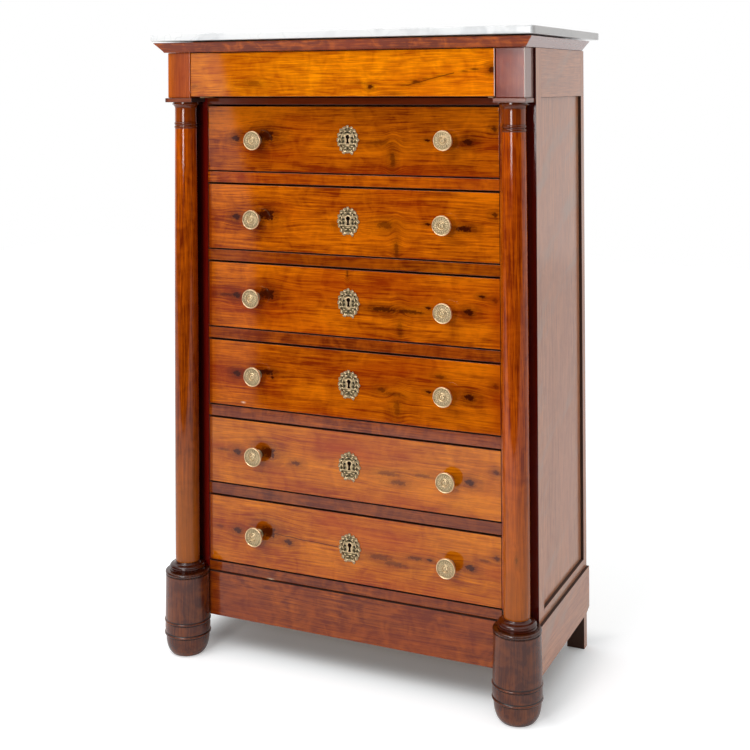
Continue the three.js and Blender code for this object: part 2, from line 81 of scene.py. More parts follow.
# Camera, from the edges of the chest in the picture: a level view with its frame shifted down
def make_camera():
    yaw, pitch, roll = 0.42873, 0.00537, -0.00525
    focal, drop, picture = 1287.5634, 298.298, 750
    forward = Vector((-math.sin(yaw) * math.cos(pitch), math.cos(yaw) * math.cos(pitch), math.sin(pitch)))
    level = Vector((math.cos(yaw), math.sin(yaw), 0))
    upright = level.cross(forward)
    right = level * math.cos(roll) + upright * math.sin(roll)
    top = upright * math.cos(roll) - level * math.sin(roll)
    data = bpy.data.cameras.new("camera")
    data.sensor_width = 36
    data.lens = focal / picture * data.sensor_width
    data.shift_y = -drop / picture
    data.clip_start = 0.05
    data.clip_end = 60
    camera = new_object("camera", data)
    turn = Matrix((right, top, -forward)).transposed().to_4x4()
    camera.matrix_world = Matrix.Translation(at(1307.756, -2697.342, 1377.232)) @ turn
    bpy.context.scene.camera = camera


make_camera()


# Node helpers
def opaque(colour):
    """Red, green and blue with the fourth value that a colour socket takes; a socket stays as it is."""
    return (*colour, 1.0) if isinstance(colour, tuple) else colour


class Nodes:
    """A short way to write a node tree."""

    def __init__(self, tree):
        self.tree = tree
        tree.nodes.clear()

    def add(self, kind, values=None, out=0, **settings):
        node = self.tree.nodes.new("ShaderNode" + kind)
        for key, value in settings.items():
            setattr(node, key, value)
        for key, value in (values or {}).items():
            if isinstance(value, bpy.types.NodeSocket):
                self.tree.links.new(value, node.inputs[key])
            else:
                node.inputs[key].default_value = value
        return node if out is None else node.outputs[out]

    def maths(self, operation, a, b=0.0, clamp=False):
        return self.add("Math", {0: a, 1: b}, operation=operation, use_clamp=clamp)

    def plus(self, a, b, clamp=False):
        return self.maths("ADD", a, b, clamp)

    def minus(self, a, b):
        return self.maths("SUBTRACT", a, b)

    def times(self, a, b, clamp=False):
        return self.maths("MULTIPLY", a, b, clamp)

    def larger(self, a, b):
        return self.maths("MAXIMUM", a, b)

    def place(self):
        """Where a point lies in the object's own coordinates, which are the frame's."""
        return self.add("TexCoord", out="Object")

    def axes(self, vector):
        return self.add("SeparateXYZ", {0: vector}, out=None).outputs

    def ranged(self, value, low, high, to_low=0.0, to_high=1.0, kind="LINEAR"):
        ranges = {"Value": value, "From Min": low, "From Max": high, "To Min": to_low, "To Max": to_high}
        return self.add("MapRange", ranges, interpolation_type=kind)

    def eased(self, value, low, high, to_low=0.0, to_high=1.0):
        return self.ranged(value, low, high, to_low, to_high, "SMOOTHSTEP")

    def mixed(self, share, a, b, blend="MIX"):
        values = {0: share, 6: opaque(a), 7: opaque(b)}
        mix = self.add("Mix", values, out=None, data_type="RGBA", blend_type=blend, clamp_factor=True)
        return mix.outputs[2]

    def scaled(self, vector, sizes):
        return self.add("VectorMath", {0: vector, 1: sizes}, operation="MULTIPLY")

    def noise(self, vector, sizes, detail=2.0, roughness=0.5, distortion=0.0):
        values = {"Vector": self.scaled(vector, sizes), "Scale": 1.0}
        values |= {"Detail": detail, "Roughness": roughness, "Distortion": distortion}
        return self.add("TexNoise", values)


def new_group(name, inputs, outputs):
    tree = bpy.data.node_groups.new(name, "ShaderNodeTree")
    for label, kind, value in inputs:
        socket = tree.interface.new_socket(label, in_out="INPUT", socket_type="NodeSocket" + kind)
        if value is not None:
            socket.default_value = value
    for label, kind in outputs:
        tree.interface.new_socket(label, in_out="OUTPUT", socket_type="NodeSocket" + kind)
    nodes = Nodes(tree)
    ends = tree.nodes.new("NodeGroupInput"), tree.nodes.new("NodeGroupOutput")
    return nodes, ends[0].outputs, ends[1].inputs


def mark_group():
    """A dark mark, a knot or the painted shadow beside a knob: how far the grain bends round it and how dark
    it is, for a place on the drawer's face.
    """
    inputs = [("Place", "Vector", None), ("Middle", "Vector", None), ("Size", "Vector", None),
              ("Strength", "Float", 1.0)]
    nodes, given, result = new_group("mark", inputs, [("Bend", "Float"), ("Dark", "Float")])
    offset = nodes.add("VectorMath", {0: given["Place"], 1: given["Middle"]}, operation="SUBTRACT")
    flat = nodes.scaled(offset, (1, 0, 1))
    shares = nodes.add("VectorMath", {0: flat, 1: given["Size"]}, operation="DIVIDE")
    ragged = nodes.noise(offset, (90, 160, 230), 3, 0.7)
    distance = nodes.add("VectorMath", {0: shares}, out=1, operation="LENGTH")
    uneven = nodes.plus(distance, nodes.ranged(ragged, 0.3, 0.7, -0.42, 0.42))
    heart = nodes.eased(uneven, 0.5, 1.3, 1.0, 0.0)
    halo = nodes.eased(uneven, 0.8, 3.2, 0.48, 0.0)
    rings = nodes.maths("SINE", nodes.times(uneven, 7.0))
    halo = nodes.times(halo, nodes.ranged(rings, -1.0, 1.0, 0.65, 1.0))
    dark = nodes.larger(heart, halo)
    nodes.tree.links.new(nodes.times(dark, given["Strength"], clamp=True), result["Dark"])
    rise = nodes.axes(offset)[2]
    near = nodes.eased(distance, 0.0, 4.2, 0.5, 0.0)
    bend = nodes.times(nodes.times(rise, near), -1.0)
    bend = nodes.times(bend, nodes.ranged(given["Strength"], 0.3, 0.7, 0.3, 1.0))
    nodes.tree.links.new(bend, result["Bend"])
    return nodes.tree


def figure_group():
    """Figure of a board: bands, annual rings, streaks and pores, drawn out along the grain."""
    inputs = [
        ("Grain", "Vector", None), ("Bend", "Float", 0.0), ("Shade", "Float", 0.0), ("Tone", "Float", 0.0),
        ("Light", "Color", None), ("Dark", "Color", None), ("Red", "Color", None), ("Contrast", "Float", 1.0),
        ("Curl", "Float", 0.15),
    ]
    outputs = [("Color", "Color"), ("Height", "Float"), ("Worn", "Float")]
    nodes, given, result = new_group("figure", inputs, outputs)
    axes = nodes.axes(given["Grain"])
    drift = nodes.ranged(nodes.noise(given["Grain"], (1.7, 7, 7), 2), 0.0, 1.0, -0.011, 0.011)
    across = nodes.plus(nodes.plus(axes[1], drift), given["Bend"])
    place = nodes.add("CombineXYZ", {0: axes[0], 1: across, 2: axes[2]})
    swirl = nodes.noise(place, (1.5, 8, 8), 2, 0.4)
    phase = nodes.plus(nodes.times(across, 42.0), nodes.times(swirl, 9.0))
    waves = nodes.ranged(nodes.maths("SINE", nodes.times(phase, 6.2832)), -1.0, 1.0)
    fine = nodes.ranged(nodes.noise(place, (14, 400, 400), 3, 0.6), 0.25, 0.75)
    parts = [
        (nodes.ranged(nodes.noise(place, (2.2, 14, 14), 3, 0.55, 0.4), 0.3, 0.7), 0.2),
        (nodes.maths("POWER", waves, 2.0), 0.03),
        (nodes.ranged(nodes.noise(place, (6, 90, 90), 3, 0.6), 0.3, 0.7), 0.09),
        (nodes.ranged(nodes.noise(place, (10, 210, 210), 3, 0.6), 0.3, 0.7), 0.36),
        (fine, 0.42),
        (nodes.ranged(nodes.noise(place, (24, 20, 20), 3, 0.55, 1.2), 0.3, 0.7), given["Curl"]),
    ]
    share = None
    for part, weight in parts:
        part = nodes.times(part, weight)
        share = part if share is None else nodes.plus(share, part)
    share = nodes.plus(nodes.times(nodes.minus(share, 0.62), given["Contrast"]), 0.5)
    share = nodes.plus(share, given["Shade"], clamp=True)
    wood = nodes.mixed(share, given["Light"], given["Dark"])
    ruddy = nodes.ranged(nodes.noise(place, (3, 9, 9), 3, 0.5, 0.6), 0.42, 0.75, 0.0, 0.45)
    ruddy = nodes.plus(ruddy, nodes.times(given["Shade"], 0.8), clamp=True)
    wood = nodes.mixed(ruddy, wood, given["Red"])
    pores = nodes.eased(nodes.noise(place, (34, 620, 620), 2), 0.62, 0.74)
    wood = nodes.mixed(nodes.times(pores, 0.6), wood, given["Dark"])
    shade = nodes.plus(nodes.times(given["Tone"], 0.16), 1.0)
    grey = nodes.add("CombineColor", {0: shade, 1: shade, 2: shade})
    nodes.tree.links.new(nodes.mixed(1.0, wood, grey, "MULTIPLY"), result["Color"])
    height = nodes.minus(nodes.times(fine, 0.35), nodes.times(pores, 0.8))
    nodes.tree.links.new(height, result["Height"])
    nodes.tree.links.new(nodes.noise(place, (6, 9, 9), 4, 0.6), result["Worn"])
    return nodes.tree


MARK, FIGURE = mark_group(), figure_group()


def new_material(name):
    material = bpy.data.materials.new(name)
    material.use_nodes = True
    nodes = Nodes(material.node_tree)
    return material, nodes


def surface(nodes, values, **settings):
    shader = nodes.add("BsdfPrincipled", values, **settings)
    nodes.add("OutputMaterial", {"Surface": shader}, out=None)


def leaf_shade(nodes, place, middle, sunk):
    """The broad light and dark parts that every drawer's veneer shares, being cut from one log."""
    offset = nodes.add("VectorMath", {0: place, 1: at(0, 0, middle)}, operation="SUBTRACT")
    across, _, rise = nodes.axes(offset)
    flat = nodes.add("CombineXYZ", {0: across, 1: 0.7, 2: rise})
    broad = nodes.ranged(nodes.noise(flat, (3.0, 1, 11), 3, 0.5), 0.3, 0.7, -0.28, 0.28)
    own = nodes.ranged(nodes.noise(place, (2.4, 2.4, 9), 2), 0.3, 0.7, -0.12, 0.12)
    side = nodes.eased(across, -0.3, 0.3, 0.55, 0.8)
    slope = nodes.times(nodes.times(nodes.eased(rise, 0.05, -0.085), side), sunk)
    edge = nodes.times(nodes.eased(rise, -0.035, -0.08, 0.0, 0.3 * sunk), nodes.eased(across, -0.2, 0.2))
    slope = nodes.plus(nodes.minus(slope, 0.3 * sunk), edge)
    slope = nodes.minus(slope, nodes.eased(across, -0.1, 0.35, 0.0, 0.11))
    return nodes.plus(nodes.plus(broad, slope), own)


def crack_share(nodes, place, start, end):
    """1 along a thin crack between two places (x, z) on a face."""
    axes = nodes.axes(place)
    low, high = at(start[0], 0, start[1]), at(end[0], 0, end[1])
    line = nodes.ranged(axes[0], low.x, high.x, low.z, high.z)
    wander = nodes.ranged(nodes.noise(place, (22, 1, 1), 3), 0.3, 0.7, -0.0012, 0.0012)
    off = nodes.maths("ABSOLUTE", nodes.minus(nodes.plus(axes[2], wander), line))
    thin = nodes.ranged(off, 0.0006, 0.0016, 0.9, 0.0)
    inside = nodes.times(nodes.maths("GREATER_THAN", axes[0], low.x),
                         nodes.maths("LESS_THAN", axes[0], high.x))
    return nodes.times(thin, inside)


def sheen_streak_share(nodes, place):
    """Painted reflection: slanting pale streaks on the polish of the sides."""
    axes = nodes.axes(place)
    rise = nodes.minus(nodes.times(axes[1], 0.4), nodes.times(axes[2], 0.92))
    run = nodes.plus(nodes.times(axes[1], 0.92), nodes.times(axes[2], 0.4))
    slanted = nodes.add("CombineXYZ", {0: rise, 1: run, 2: axes[0]})
    return nodes.eased(nodes.noise(slanted, (13, 3.5, 1), 3, 0.55), 0.5, 0.72, 0.0, 0.6)


def wood(name, light, dark, red, contrast=1.0, gloss=(0.05, 0.11), knots_and_shadows=(), relief=0.03, unshaded_axis=None,
         middle=None, crack=None, chip=None, coat=0.0, curl=0.15, sunk=0.3, arris=0.0, sheen_streaks=None, fades=(),
         side_sheen=None, ior=1.5):
    """Polished wood. Each knot and the chip is (x, z, half width, half height, strength), in millimetres.

    The axis named by unshaded_axis is the face left as it is; the others get painted shade, darker and
    duller, as edges in the gaps and recesses are in shadow.
    Each fade is (axis, start, end, share, colour, dullness): its colour covers the wood up to start and is
    gone at end, in millimetres. A drawer's veneer is shaded about its middle, and sunk says how much.
    The sheen_streaks colour paints slanting reflections on the polish, arris paints a pale highlight along
    the right edge, and side_sheen paints a pale reflection on the faces at the sides.
    """
    material, nodes = new_material(name)
    grain = nodes.add("Attribute", out="Vector", attribute_name="grain")
    tone = nodes.add("Attribute", out="Fac", attribute_name="tone")
    place = nodes.place()
    bend, dark_share = None, None

    def spot(x, z, wide, high, strength):
        mark = nodes.add("Group", out=None, node_tree=MARK)
        nodes.tree.links.new(place, mark.inputs["Place"])
        mark.inputs["Middle"].default_value = at(x, 0, z)
        mark.inputs["Size"].default_value = (wide * MM, 1, high * MM)
        mark.inputs["Strength"].default_value = strength
        return mark.outputs

    for mark in knots_and_shadows:
        more_bend, more_dark = spot(*mark)
        bend = more_bend if bend is None else nodes.plus(bend, more_bend)
        dark_share = more_dark if dark_share is None else nodes.larger(dark_share, more_dark)
    figure = nodes.add("Group", out=None, node_tree=FIGURE)
    nodes.tree.links.new(grain, figure.inputs["Grain"])
    nodes.tree.links.new(tone, figure.inputs["Tone"])
    looks = {"Light": light, "Dark": dark, "Red": red, "Contrast": contrast, "Curl": curl}
    for key, value in looks.items():
        figure.inputs[key].default_value = opaque(value)
    base = figure.outputs["Color"]
    if sheen_streaks:
        base = nodes.mixed(sheen_streak_share(nodes, place), base, sheen_streaks)
    if middle is not None:
        nodes.tree.links.new(leaf_shade(nodes, place, middle, sunk), figure.inputs["Shade"])
    if crack:
        dark_share = nodes.larger(dark_share, crack_share(nodes, place, *crack))
    if knots_and_shadows:
        nodes.tree.links.new(bend, figure.inputs["Bend"])
        base = nodes.mixed(dark_share, base, tuple(0.26 * part for part in dark))
    if chip:
        base = nodes.mixed(spot(*chip)[1], base, (0.85, 0.62, 0.4))
    rough = nodes.ranged(figure.outputs["Worn"], 0.3, 0.7, *gloss)
    facing = nodes.axes(nodes.add("NewGeometry", out="Normal"))
    # Painted shade on the faces that look into gaps and recesses
    if unshaded_axis is not None:
        edge_shade = nodes.eased(nodes.maths("ABSOLUTE", facing[unshaded_axis]), 0.6, 0.97, 0.95, 0.0)
        base = nodes.mixed(edge_shade, base, tuple(0.12 * part for part in dark))
        rough = nodes.plus(rough, nodes.times(edge_shade, 0.7), clamp=True)
    axes = nodes.axes(place)
    for axis, start, end, share, tint, dull in fades:
        amount = nodes.eased(axes[axis], start * MM, end * MM, share, 0.0)
        base = nodes.mixed(amount, base, tint)
        rough = nodes.plus(rough, nodes.times(amount, dull), clamp=True)
    # Painted reflection on the faces at the sides
    if side_sheen:
        beside = nodes.ranged(nodes.maths("ABSOLUTE", facing[ACROSS]), 0.9, 0.97, 0.0, 0.9)
        base = nodes.mixed(beside, base, side_sheen)
    # Painted highlight along the right edge
    if arris:
        edge = nodes.times(nodes.ranged(facing[ACROSS], 0.1, 0.35, 0.0, arris),
                           nodes.ranged(facing[ACROSS], 0.85, 0.97, 1.0, 0.0))
        base = nodes.mixed(edge, base, (1, 0.84, 0.76))
    bump = nodes.add("Bump", {"Strength": relief, "Distance": 0.001, "Height": figure.outputs["Height"]})
    polish = {"Coat Weight": coat, "Coat Roughness": 0.12, "IOR": ior}
    surface(nodes, {"Base Color": base, "Roughness": rough, "Normal": bump, **polish})
    return material


def brass_material():
    material, nodes = new_material("aged_brass")
    hollow = nodes.add("Attribute", out="Fac", attribute_name="hollow")
    place = nodes.place()
    spots = nodes.ranged(nodes.noise(place, (420, 420, 420), 4, 0.65), 0.35, 0.7)
    clouds = nodes.ranged(nodes.noise(place, (90, 90, 90), 3), 0.3, 0.7)
    share = nodes.plus(nodes.times(hollow, 0.77), nodes.times(spots, 0.18))
    base = nodes.mixed(clouds, (1.0, 0.73, 0.44), (0.94, 0.72, 0.42))
    base = nodes.mixed(share, base, (0.1, 0.075, 0.03))
    rough = nodes.ranged(share, 0.0, 1.0, 0.3, 0.55)
    bump = nodes.add("Bump", {"Strength": 0.12, "Distance": 0.0004, "Height": spots})
    surface(nodes, {"Base Color": base, "Metallic": 0.8, "Roughness": rough, "Normal": bump})
    return material


def marble_material():
    material, nodes = new_material("veined_marble")
    place = nodes.place()
    cloud = {"Vector": place, "Scale": 3.0, "Detail": 5.0, "Roughness": 0.6}
    pulled = nodes.scaled(nodes.add("TexNoise", cloud, out="Color"), (0.5, 0.5, 0.5))
    bent = nodes.add("VectorMath", {0: place, 1: pulled}, operation="ADD")
    cells = nodes.add("TexVoronoi", {"Vector": bent, "Scale": 3.2}, feature="DISTANCE_TO_EDGE")
    veins = nodes.eased(cells, 0.0, 0.07, 1.0, 0.0)
    thin = nodes.add("TexVoronoi", {"Vector": bent, "Scale": 9.0}, feature="DISTANCE_TO_EDGE")
    threads = nodes.eased(thin, 0.0, 0.03, 0.5, 0.0)
    gate = nodes.ranged(nodes.noise(place, (2.2, 2.2, 2.2), 3), 0.45, 0.62)
    veins = nodes.times(nodes.larger(veins, threads), gate)
    clouds = nodes.ranged(nodes.noise(bent, (4, 4, 4), 5, 0.6), 0.3, 0.75)
    base = nodes.mixed(clouds, (0.88, 0.88, 0.87), (0.78, 0.795, 0.805))
    base = nodes.mixed(nodes.times(veins, 0.5), base, (0.45, 0.47, 0.48))
    # Painted shade: the face towards the right side is darkened
    facing = nodes.axes(nodes.add("NewGeometry", out="Normal"))[0]
    base = nodes.mixed(nodes.ranged(facing, 0.5, 0.9, 0.0, 0.5), base, (0.36, 0.31, 0.28))
    grain = nodes.noise(place, (700, 700, 700), 2)
    bump = nodes.add("Bump", {"Strength": 0.03, "Distance": 0.001, "Height": grain})
    rough = nodes.ranged(clouds, 0.0, 1.0, 0.16, 0.3)
    surface(nodes, {"Base Color": base, "Roughness": rough, "Normal": bump, "IOR": 1.5})
    return material


def shade_bed_material():
    """Painted shade: a near-black bed that shows through the piercings."""
    material, nodes = new_material("bed_painted_shade")
    place = nodes.place()
    mottle = nodes.ranged(nodes.noise(place, (300, 300, 300), 3), 0.3, 0.7)
    base = nodes.mixed(mottle, (0.006, 0.004, 0.002), (0.02, 0.01, 0.005))
    surface(nodes, {"Base Color": base, "Roughness": nodes.ranged(mottle, 0.0, 1.0, 0.7, 0.9)})
    return material


LIGHT, DARK, RED = (0.63, 0.142, 0.001), (0.17, 0.018, 0.0006), (0.34, 0.03, 0.0006)
PALE = (0.67, 0.182, 0.002), (0.24, 0.03, 0.001), (0.42, 0.05, 0.001)
INNER = (0.52, 0.34, 0.18), (0.32, 0.18, 0.08), (0.42, 0.24, 0.11)
PLINTH = (0.46, 0.095, 0.003), (0.13, 0.015, 0.001), (0.27, 0.031, 0.001)
FINISHES = {
    "front_wood": wood("polished_cherry", LIGHT, DARK, RED, 1.4, unshaded_axis=DEEP, curl=0.35),
    "red_wood": wood("red_cherry", (0.5, 0.1, 0.012), (0.19, 0.025, 0.006),
                     (0.34, 0.042, 0.01), 1.3,
                     fades=[(ACROSS, -450, -424, 0.45, (0.66, 0.15, 0.006), 0)]),
    # Painted shade on the cornice: darker along its lower edge, with a painted shadow of the marble along its
    # top
    "cornice_wood": wood("cornice_cherry", (0.7, 0.14, 0.001), (0.21, 0.027, 0.0006),
                         (0.44, 0.051, 0.001), 2.3, curl=0.5, ior=1.43,
                         fades=[(UP, 1455, 1465, 0.4, (0.14, 0.016, 0.001), 0),
                                (UP, 1478, 1474, 0.4, (0.14, 0.016, 0.001), 0)]),
    # The right block: its colour holds a painted sheen, with a painted highlight on its right edge and a
    # painted reflection on its side; darker towards its top and bottom
    "sheen_painted_wood": wood("cherry_painted_sheen", (0.34, 0.066, 0.026), (0.19, 0.026, 0.014),
                      (0.27, 0.04, 0.022), 1.4, (0.1, 0.15), arris=0.9, curl=0.4, side_sheen=(0.36, 0.22, 0.19),
                      fades=[(UP, 1352, 1385, 0.45, (0.13, 0.014, 0.008), 0),
                             (UP, 1449, 1425, 0.6, (0.1, 0.012, 0.008), 0)]),
    "plinth_wood": wood("plinth_cherry", *PLINTH, 1.5, unshaded_axis=DEEP, curl=0.38),
    "chipped_wood": wood("chipped_cherry", *PLINTH, 1.5, unshaded_axis=DEEP, curl=0.4,
                         chip=(-206, 194, 5, 1.6, 1.0)),
    # Painted shade: the top rail below the frieze drawer is dark as it lies in that drawer's shadow
    "shadow_wood": wood("top_rail_painted_shade", (0.2, 0.03, 0.004), (0.08, 0.008, 0.001),
                        (0.14, 0.014, 0.002), unshaded_axis=DEEP),
    "stile_wood": wood("ebonised_stile", (0.085, 0.002, 0.001), (0.028, 0.001, 0.0005),
                       (0.07, 0.001, 0.001), 0.8, unshaded_axis=DEEP),
    # The left stile: its fade paints the left column's shadow over the part beside the column
    "red_stile_wood": wood("near_black_stile_left", (0.19, 0.005, 0.002), (0.07, 0.002, 0.001),
                           (0.14, 0.003, 0.001), 0.8, unshaded_axis=DEEP,
                           fades=[(ACROSS, -394, -381, 0.93, (0.012, 0.0006, 0.0004), 0)]),
    "column_wood": wood("column_cherry", (0.62, 0.112, 0.001), (0.17, 0.017, 0.0005),
                        (0.35, 0.035, 0.001), 2.0, (0.07, 0.11), relief=0.003, curl=0.2, ior=1.4,
                        knots_and_shadows=[(429, 352, 2.6, 10, 1), (-428, 520, 2, 7, 0.5)],
                        fades=[(UP, 250, 640, 0.5, (0.44, 0.13, 0.012), 0)]),
    "capital_wood": wood("capital_cherry", (0.36, 0.065, 0.003), (0.1, 0.012, 0.001),
                         (0.2, 0.025, 0.002), 1.3, (0.09, 0.14), relief=0.003),
    "slab_wood": wood("slab_cherry", (0.3, 0.085, 0.04), (0.13, 0.03, 0.016),
                      (0.2, 0.045, 0.022), 1.2, (0.14, 0.2), relief=0.003,
                      fades=[(UP, 1338, 1339.5, 0.5, (0.05, 0.01, 0.006), 0)]),
    "dim_slab_wood": wood("shaded_slab_cherry", (0.3, 0.085, 0.04), (0.13, 0.03, 0.016),
                          (0.2, 0.045, 0.022), 1.2, (0.14, 0.2), relief=0.003, unshaded_axis=DEEP,
                          fades=[(ACROSS, -457, -445, 0.8, (0.06, 0.01, 0.005), 0)]),
    "base_wood": wood("base_cherry", (0.1, 0.014, 0.002), (0.03, 0.003, 0.001),
                      (0.065, 0.007, 0.001), gloss=(0.12, 0.2), relief=0.012),
    # sheen_streaks paints slanting pale reflections on the sides' polish
    "side_wood": wood("side_cherry", (0.68, 0.29, 0.145), (0.36, 0.15, 0.09),
                      (0.5, 0.19, 0.105), 1.5, (0.14, 0.24), unshaded_axis=ACROSS, sheen_streaks=(0.4, 0.26, 0.19)),
    "cornice_side": wood("cornice_side_cherry", (0.5, 0.26, 0.21), (0.34, 0.17, 0.15),
                         (0.42, 0.2, 0.17), 0.7, (0.14, 0.24), coat=0.8),
    "dark_wood": wood("stained_wood", (0.23, 0.053, 0.007), (0.06, 0.01, 0.003),
                      (0.14, 0.024, 0.005), 1.3, (0.12, 0.26), relief=0.006, curl=0.6, ior=1.55),
    "inner_wood": wood("bare_wood", *INNER, 0.9, (0.55, 0.75), relief=0.2),
    "brass": brass_material(),
    "marble": marble_material(),
    "hollow": shade_bed_material(),
}


# Mesh helpers
def place_piece(name, mesh, body, slot, finish=None, nodes=()):
    """Puts a mesh in the scene as a named piece under its body, with its finish, or the slot's finish when
    none is given, and hides the CAD nodes it stands for.
    """
    piece = new_object(name, mesh)
    mesh.materials.clear()
    finish = finish or slot
    mesh.materials.append(FINISHES[finish] if isinstance(finish, str) else finish)
    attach(piece, body)
    if nodes:
        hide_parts(*nodes)
    return piece


def mesh_of(name, points, faces, sharp=35):
    mesh = bpy.data.meshes.new(name)
    mesh.from_pydata([tuple(point) for point in points], [], faces)
    mesh.validate()
    smooth(mesh, sharp)
    return mesh


def ring_faces(count):
    """Faces between two rings of points, the second straight after the first."""
    return [(i, (i + 1) % count, count + (i + 1) % count, count + i) for i in range(count)]


def smooth(mesh, sharp=35):
    mesh.shade_smooth()
    mesh.set_sharp_from_angle(angle=math.radians(sharp))


def store(mesh, name, values, kind="FLOAT", entry="value"):
    """Gives the points of a mesh their values under a name that the materials read."""
    mesh.attributes.new(name, kind, "POINT").data.foreach_set(entry, values)


def give_grain(mesh, along, label, tone=None):
    """Stores where each point lies in its board: along the grain, across it and through the thickness."""
    chance = random.Random(label)
    order = {ACROSS: (0, 2, 1), DEEP: (1, 0, 2), UP: (2, 0, 1)}[along]
    shift = [chance.uniform(-20, 20) for _ in order]
    for old in ("grain", "tone"):
        if old in mesh.attributes:
            mesh.attributes.remove(mesh.attributes[old])
    grain = [point.co[axis] + extra for point in mesh.vertices for axis, extra in zip(order, shift)]
    store(mesh, "grain", grain, "FLOAT_VECTOR", "vector")
    value = chance.uniform(-0.6, 0.6) if tone is None else tone
    store(mesh, "tone", [value(point.co) if callable(value) else value for point in mesh.vertices])


def box_mesh(name, low, high):
    x, y, z = zip(low, high)
    points = [(x[i], y[j], z[k]) for k in (0, 1) for j in (0, 1) for i in (0, 1)]
    faces = [(0, 2, 3, 1), (4, 5, 7, 6), (0, 1, 5, 4), (2, 6, 7, 3), (0, 4, 6, 2), (1, 3, 7, 5)]
    return mesh_of(name, points, faces)


def ease(piece, width, segments=3):
    """Rounds the edges of a board a little, as planing and wear do."""
    soft = piece.modifiers.new("eased_edges", "BEVEL")
    soft.width = width * MM
    soft.segments = segments
    soft.limit_method = "ANGLE"
    soft.angle_limit = math.radians(40)
    soft.harden_normals = True
    return piece


def worked_out(thing):
    """The mesh of an object with its modifiers, or its curve's thickness, worked out."""
    graph = bpy.context.evaluated_depsgraph_get()
    return bpy.data.meshes.new_from_object(thing.evaluated_get(graph), depsgraph=graph)


def cut(piece, *shapes):
    """Cuts closed shapes out of a piece and throws the shapes away."""
    for shape in shapes:
        knife = piece.modifiers.new("cut", "BOOLEAN")
        knife.operation = "DIFFERENCE"
        knife.solver = "EXACT"
        knife.object = new_object("tool", shape)
    mesh = worked_out(piece)
    tools = [knife.object for knife in piece.modifiers]
    piece.modifiers.clear()
    for tool in tools:
        bpy.data.objects.remove(tool)
    finish = piece.data.materials[0]
    piece.data = mesh
    mesh.materials.clear()
    mesh.materials.append(finish)
    for face in mesh.polygons:
        face.material_index = 0
    smooth(mesh)
    return piece


def board(name, low, high, along, body, slot, finish=None, nodes=(), edge=1.0, cuts=(), tone=None):
    """A board between two corners, with eased edges and its own stretch of grain."""
    piece = place_piece(name, box_mesh(name, low, high), body, slot, finish, nodes)
    if cuts:
        cut(piece, *cuts)
    give_grain(piece.data, along, name, tone)
    return ease(piece, edge)


def turned_mesh(name, profile, centre, segments=96, facing="up", carve=None, limit=None):
    """A turned shape from (radius, height) pairs in millimetres that start and end on the axis."""
    points, faces = [], []
    rows = profile[1:-1]
    points.append((0, 0, profile[0][1]))
    for row, (radius, height) in enumerate(rows):
        for step in range(segments):
            angle = 2 * math.pi * step / segments
            rise = carve(radius, height, angle) if carve else 0
            points.append((radius * math.cos(angle), radius * math.sin(angle), height + rise))
    points.append((0, 0, profile[-1][1]))
    last = len(points) - 1
    for step in range(segments):
        after = (step + 1) % segments
        faces.append((0, 1 + after, 1 + step))
        for row in range(len(rows) - 1):
            a, b = 1 + row * segments, 1 + (row + 1) * segments
            faces.append((a + step, a + after, b + after, b + step))
        end = 1 + (len(rows) - 1) * segments
        faces.append((last, end + step, end + after))
    placed = []
    for x, y, z in points:
        if limit is not None:
            y = min(y, limit)
        if facing == "front":
            x, y, z = x, -z, y
        placed.append(Vector((x * MM, y * MM, z * MM)) + Vector(centre))
    return mesh_of(name, placed, faces)


def bead(radius, low, high, proud, steps=6):
    """A small round moulding between two heights."""
    middle, half = (low + high) / 2, (high - low) / 2
    angles = [math.pi * (step / steps - 0.5) for step in range(steps + 1)]
    return [(radius + proud * math.cos(angle), middle + half * math.sin(angle)) for angle in angles]


def curve_through(points, steps=5):
    """A smooth line through (radius, height) pairs."""
    line = []
    for i in range(len(points) - 1):
        before, start = points[max(i - 1, 0)], points[i]
        end, after = points[i + 1], points[min(i + 2, len(points) - 1)]
        for step in range(steps):
            t = step / steps
            pair = []
            for k in (0, 1):
                a, b, c, d = before[k], start[k], end[k], after[k]
                pair.append(0.5 * (2 * b + (c - a) * t + (2 * a - 5 * b + 4 * c - d) * t * t
                                   + (3 * b - a - 3 * c + d) * t * t * t))
            line.append(tuple(pair))
    return line + [points[-1]]


SIDES = (("left", -1), ("right", 1))


def mirrored(sign, low, high):
    """Two corners in millimetres, written for the right side, as places on the side of the sign."""
    pairs = [sorted(pair) for pair in zip(at(sign * low[0], *low[1:]), at(sign * high[0], *high[1:]))]
    return Vector([pair[0] for pair in pairs]), Vector([pair[1] for pair in pairs])


# The chest's levels and sizes, in millimetres
def edges(node, axis):
    """The low and high edges of a node's box along an axis, in the millimetres that at() takes."""
    start = PLANE if axis == DEEP else 0
    return [round((corner[axis] - start) / MM, 1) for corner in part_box(node)]


def between(node, axis):
    return round(sum(edges(node, axis)) / 2, 1)


SEAM = 0.3
OPENING_HALF, CARCASE_HALF = edges("side_frame_right", ACROSS)
CARCASE_REAR = edges("side_frame_right", DEEP)[1]
SIDE_INNER = round(edges("drawer_divider_1", ACROSS)[1] + SEAM, 1)
FRIEZE_BOTTOM, CORNICE_BOTTOM = edges("capital_slab_right", UP)[1], edges("cornice_front", UP)[0]
PLINTH_BOTTOM, PLINTH_TOP = edges("plinth_front", UP)
TOP_OPENING = edges("drawer_divider_1", UP)[0]
BOX_BOTTOM = edges("drawer_box_1", UP)[0]
OPENING_HEIGHT = round(TOP_OPENING - BOX_BOTTOM + SEAM, 1)
PITCH = round(BOX_BOTTOM - edges("drawer_box_2", UP)[0], 1)
RAIL_HEIGHT = PITCH - OPENING_HEIGHT
LOWEST_OPENING = round(TOP_OPENING - 6 * PITCH + RAIL_HEIGHT, 1)
COLUMN_X = between("column_right", ACROSS)
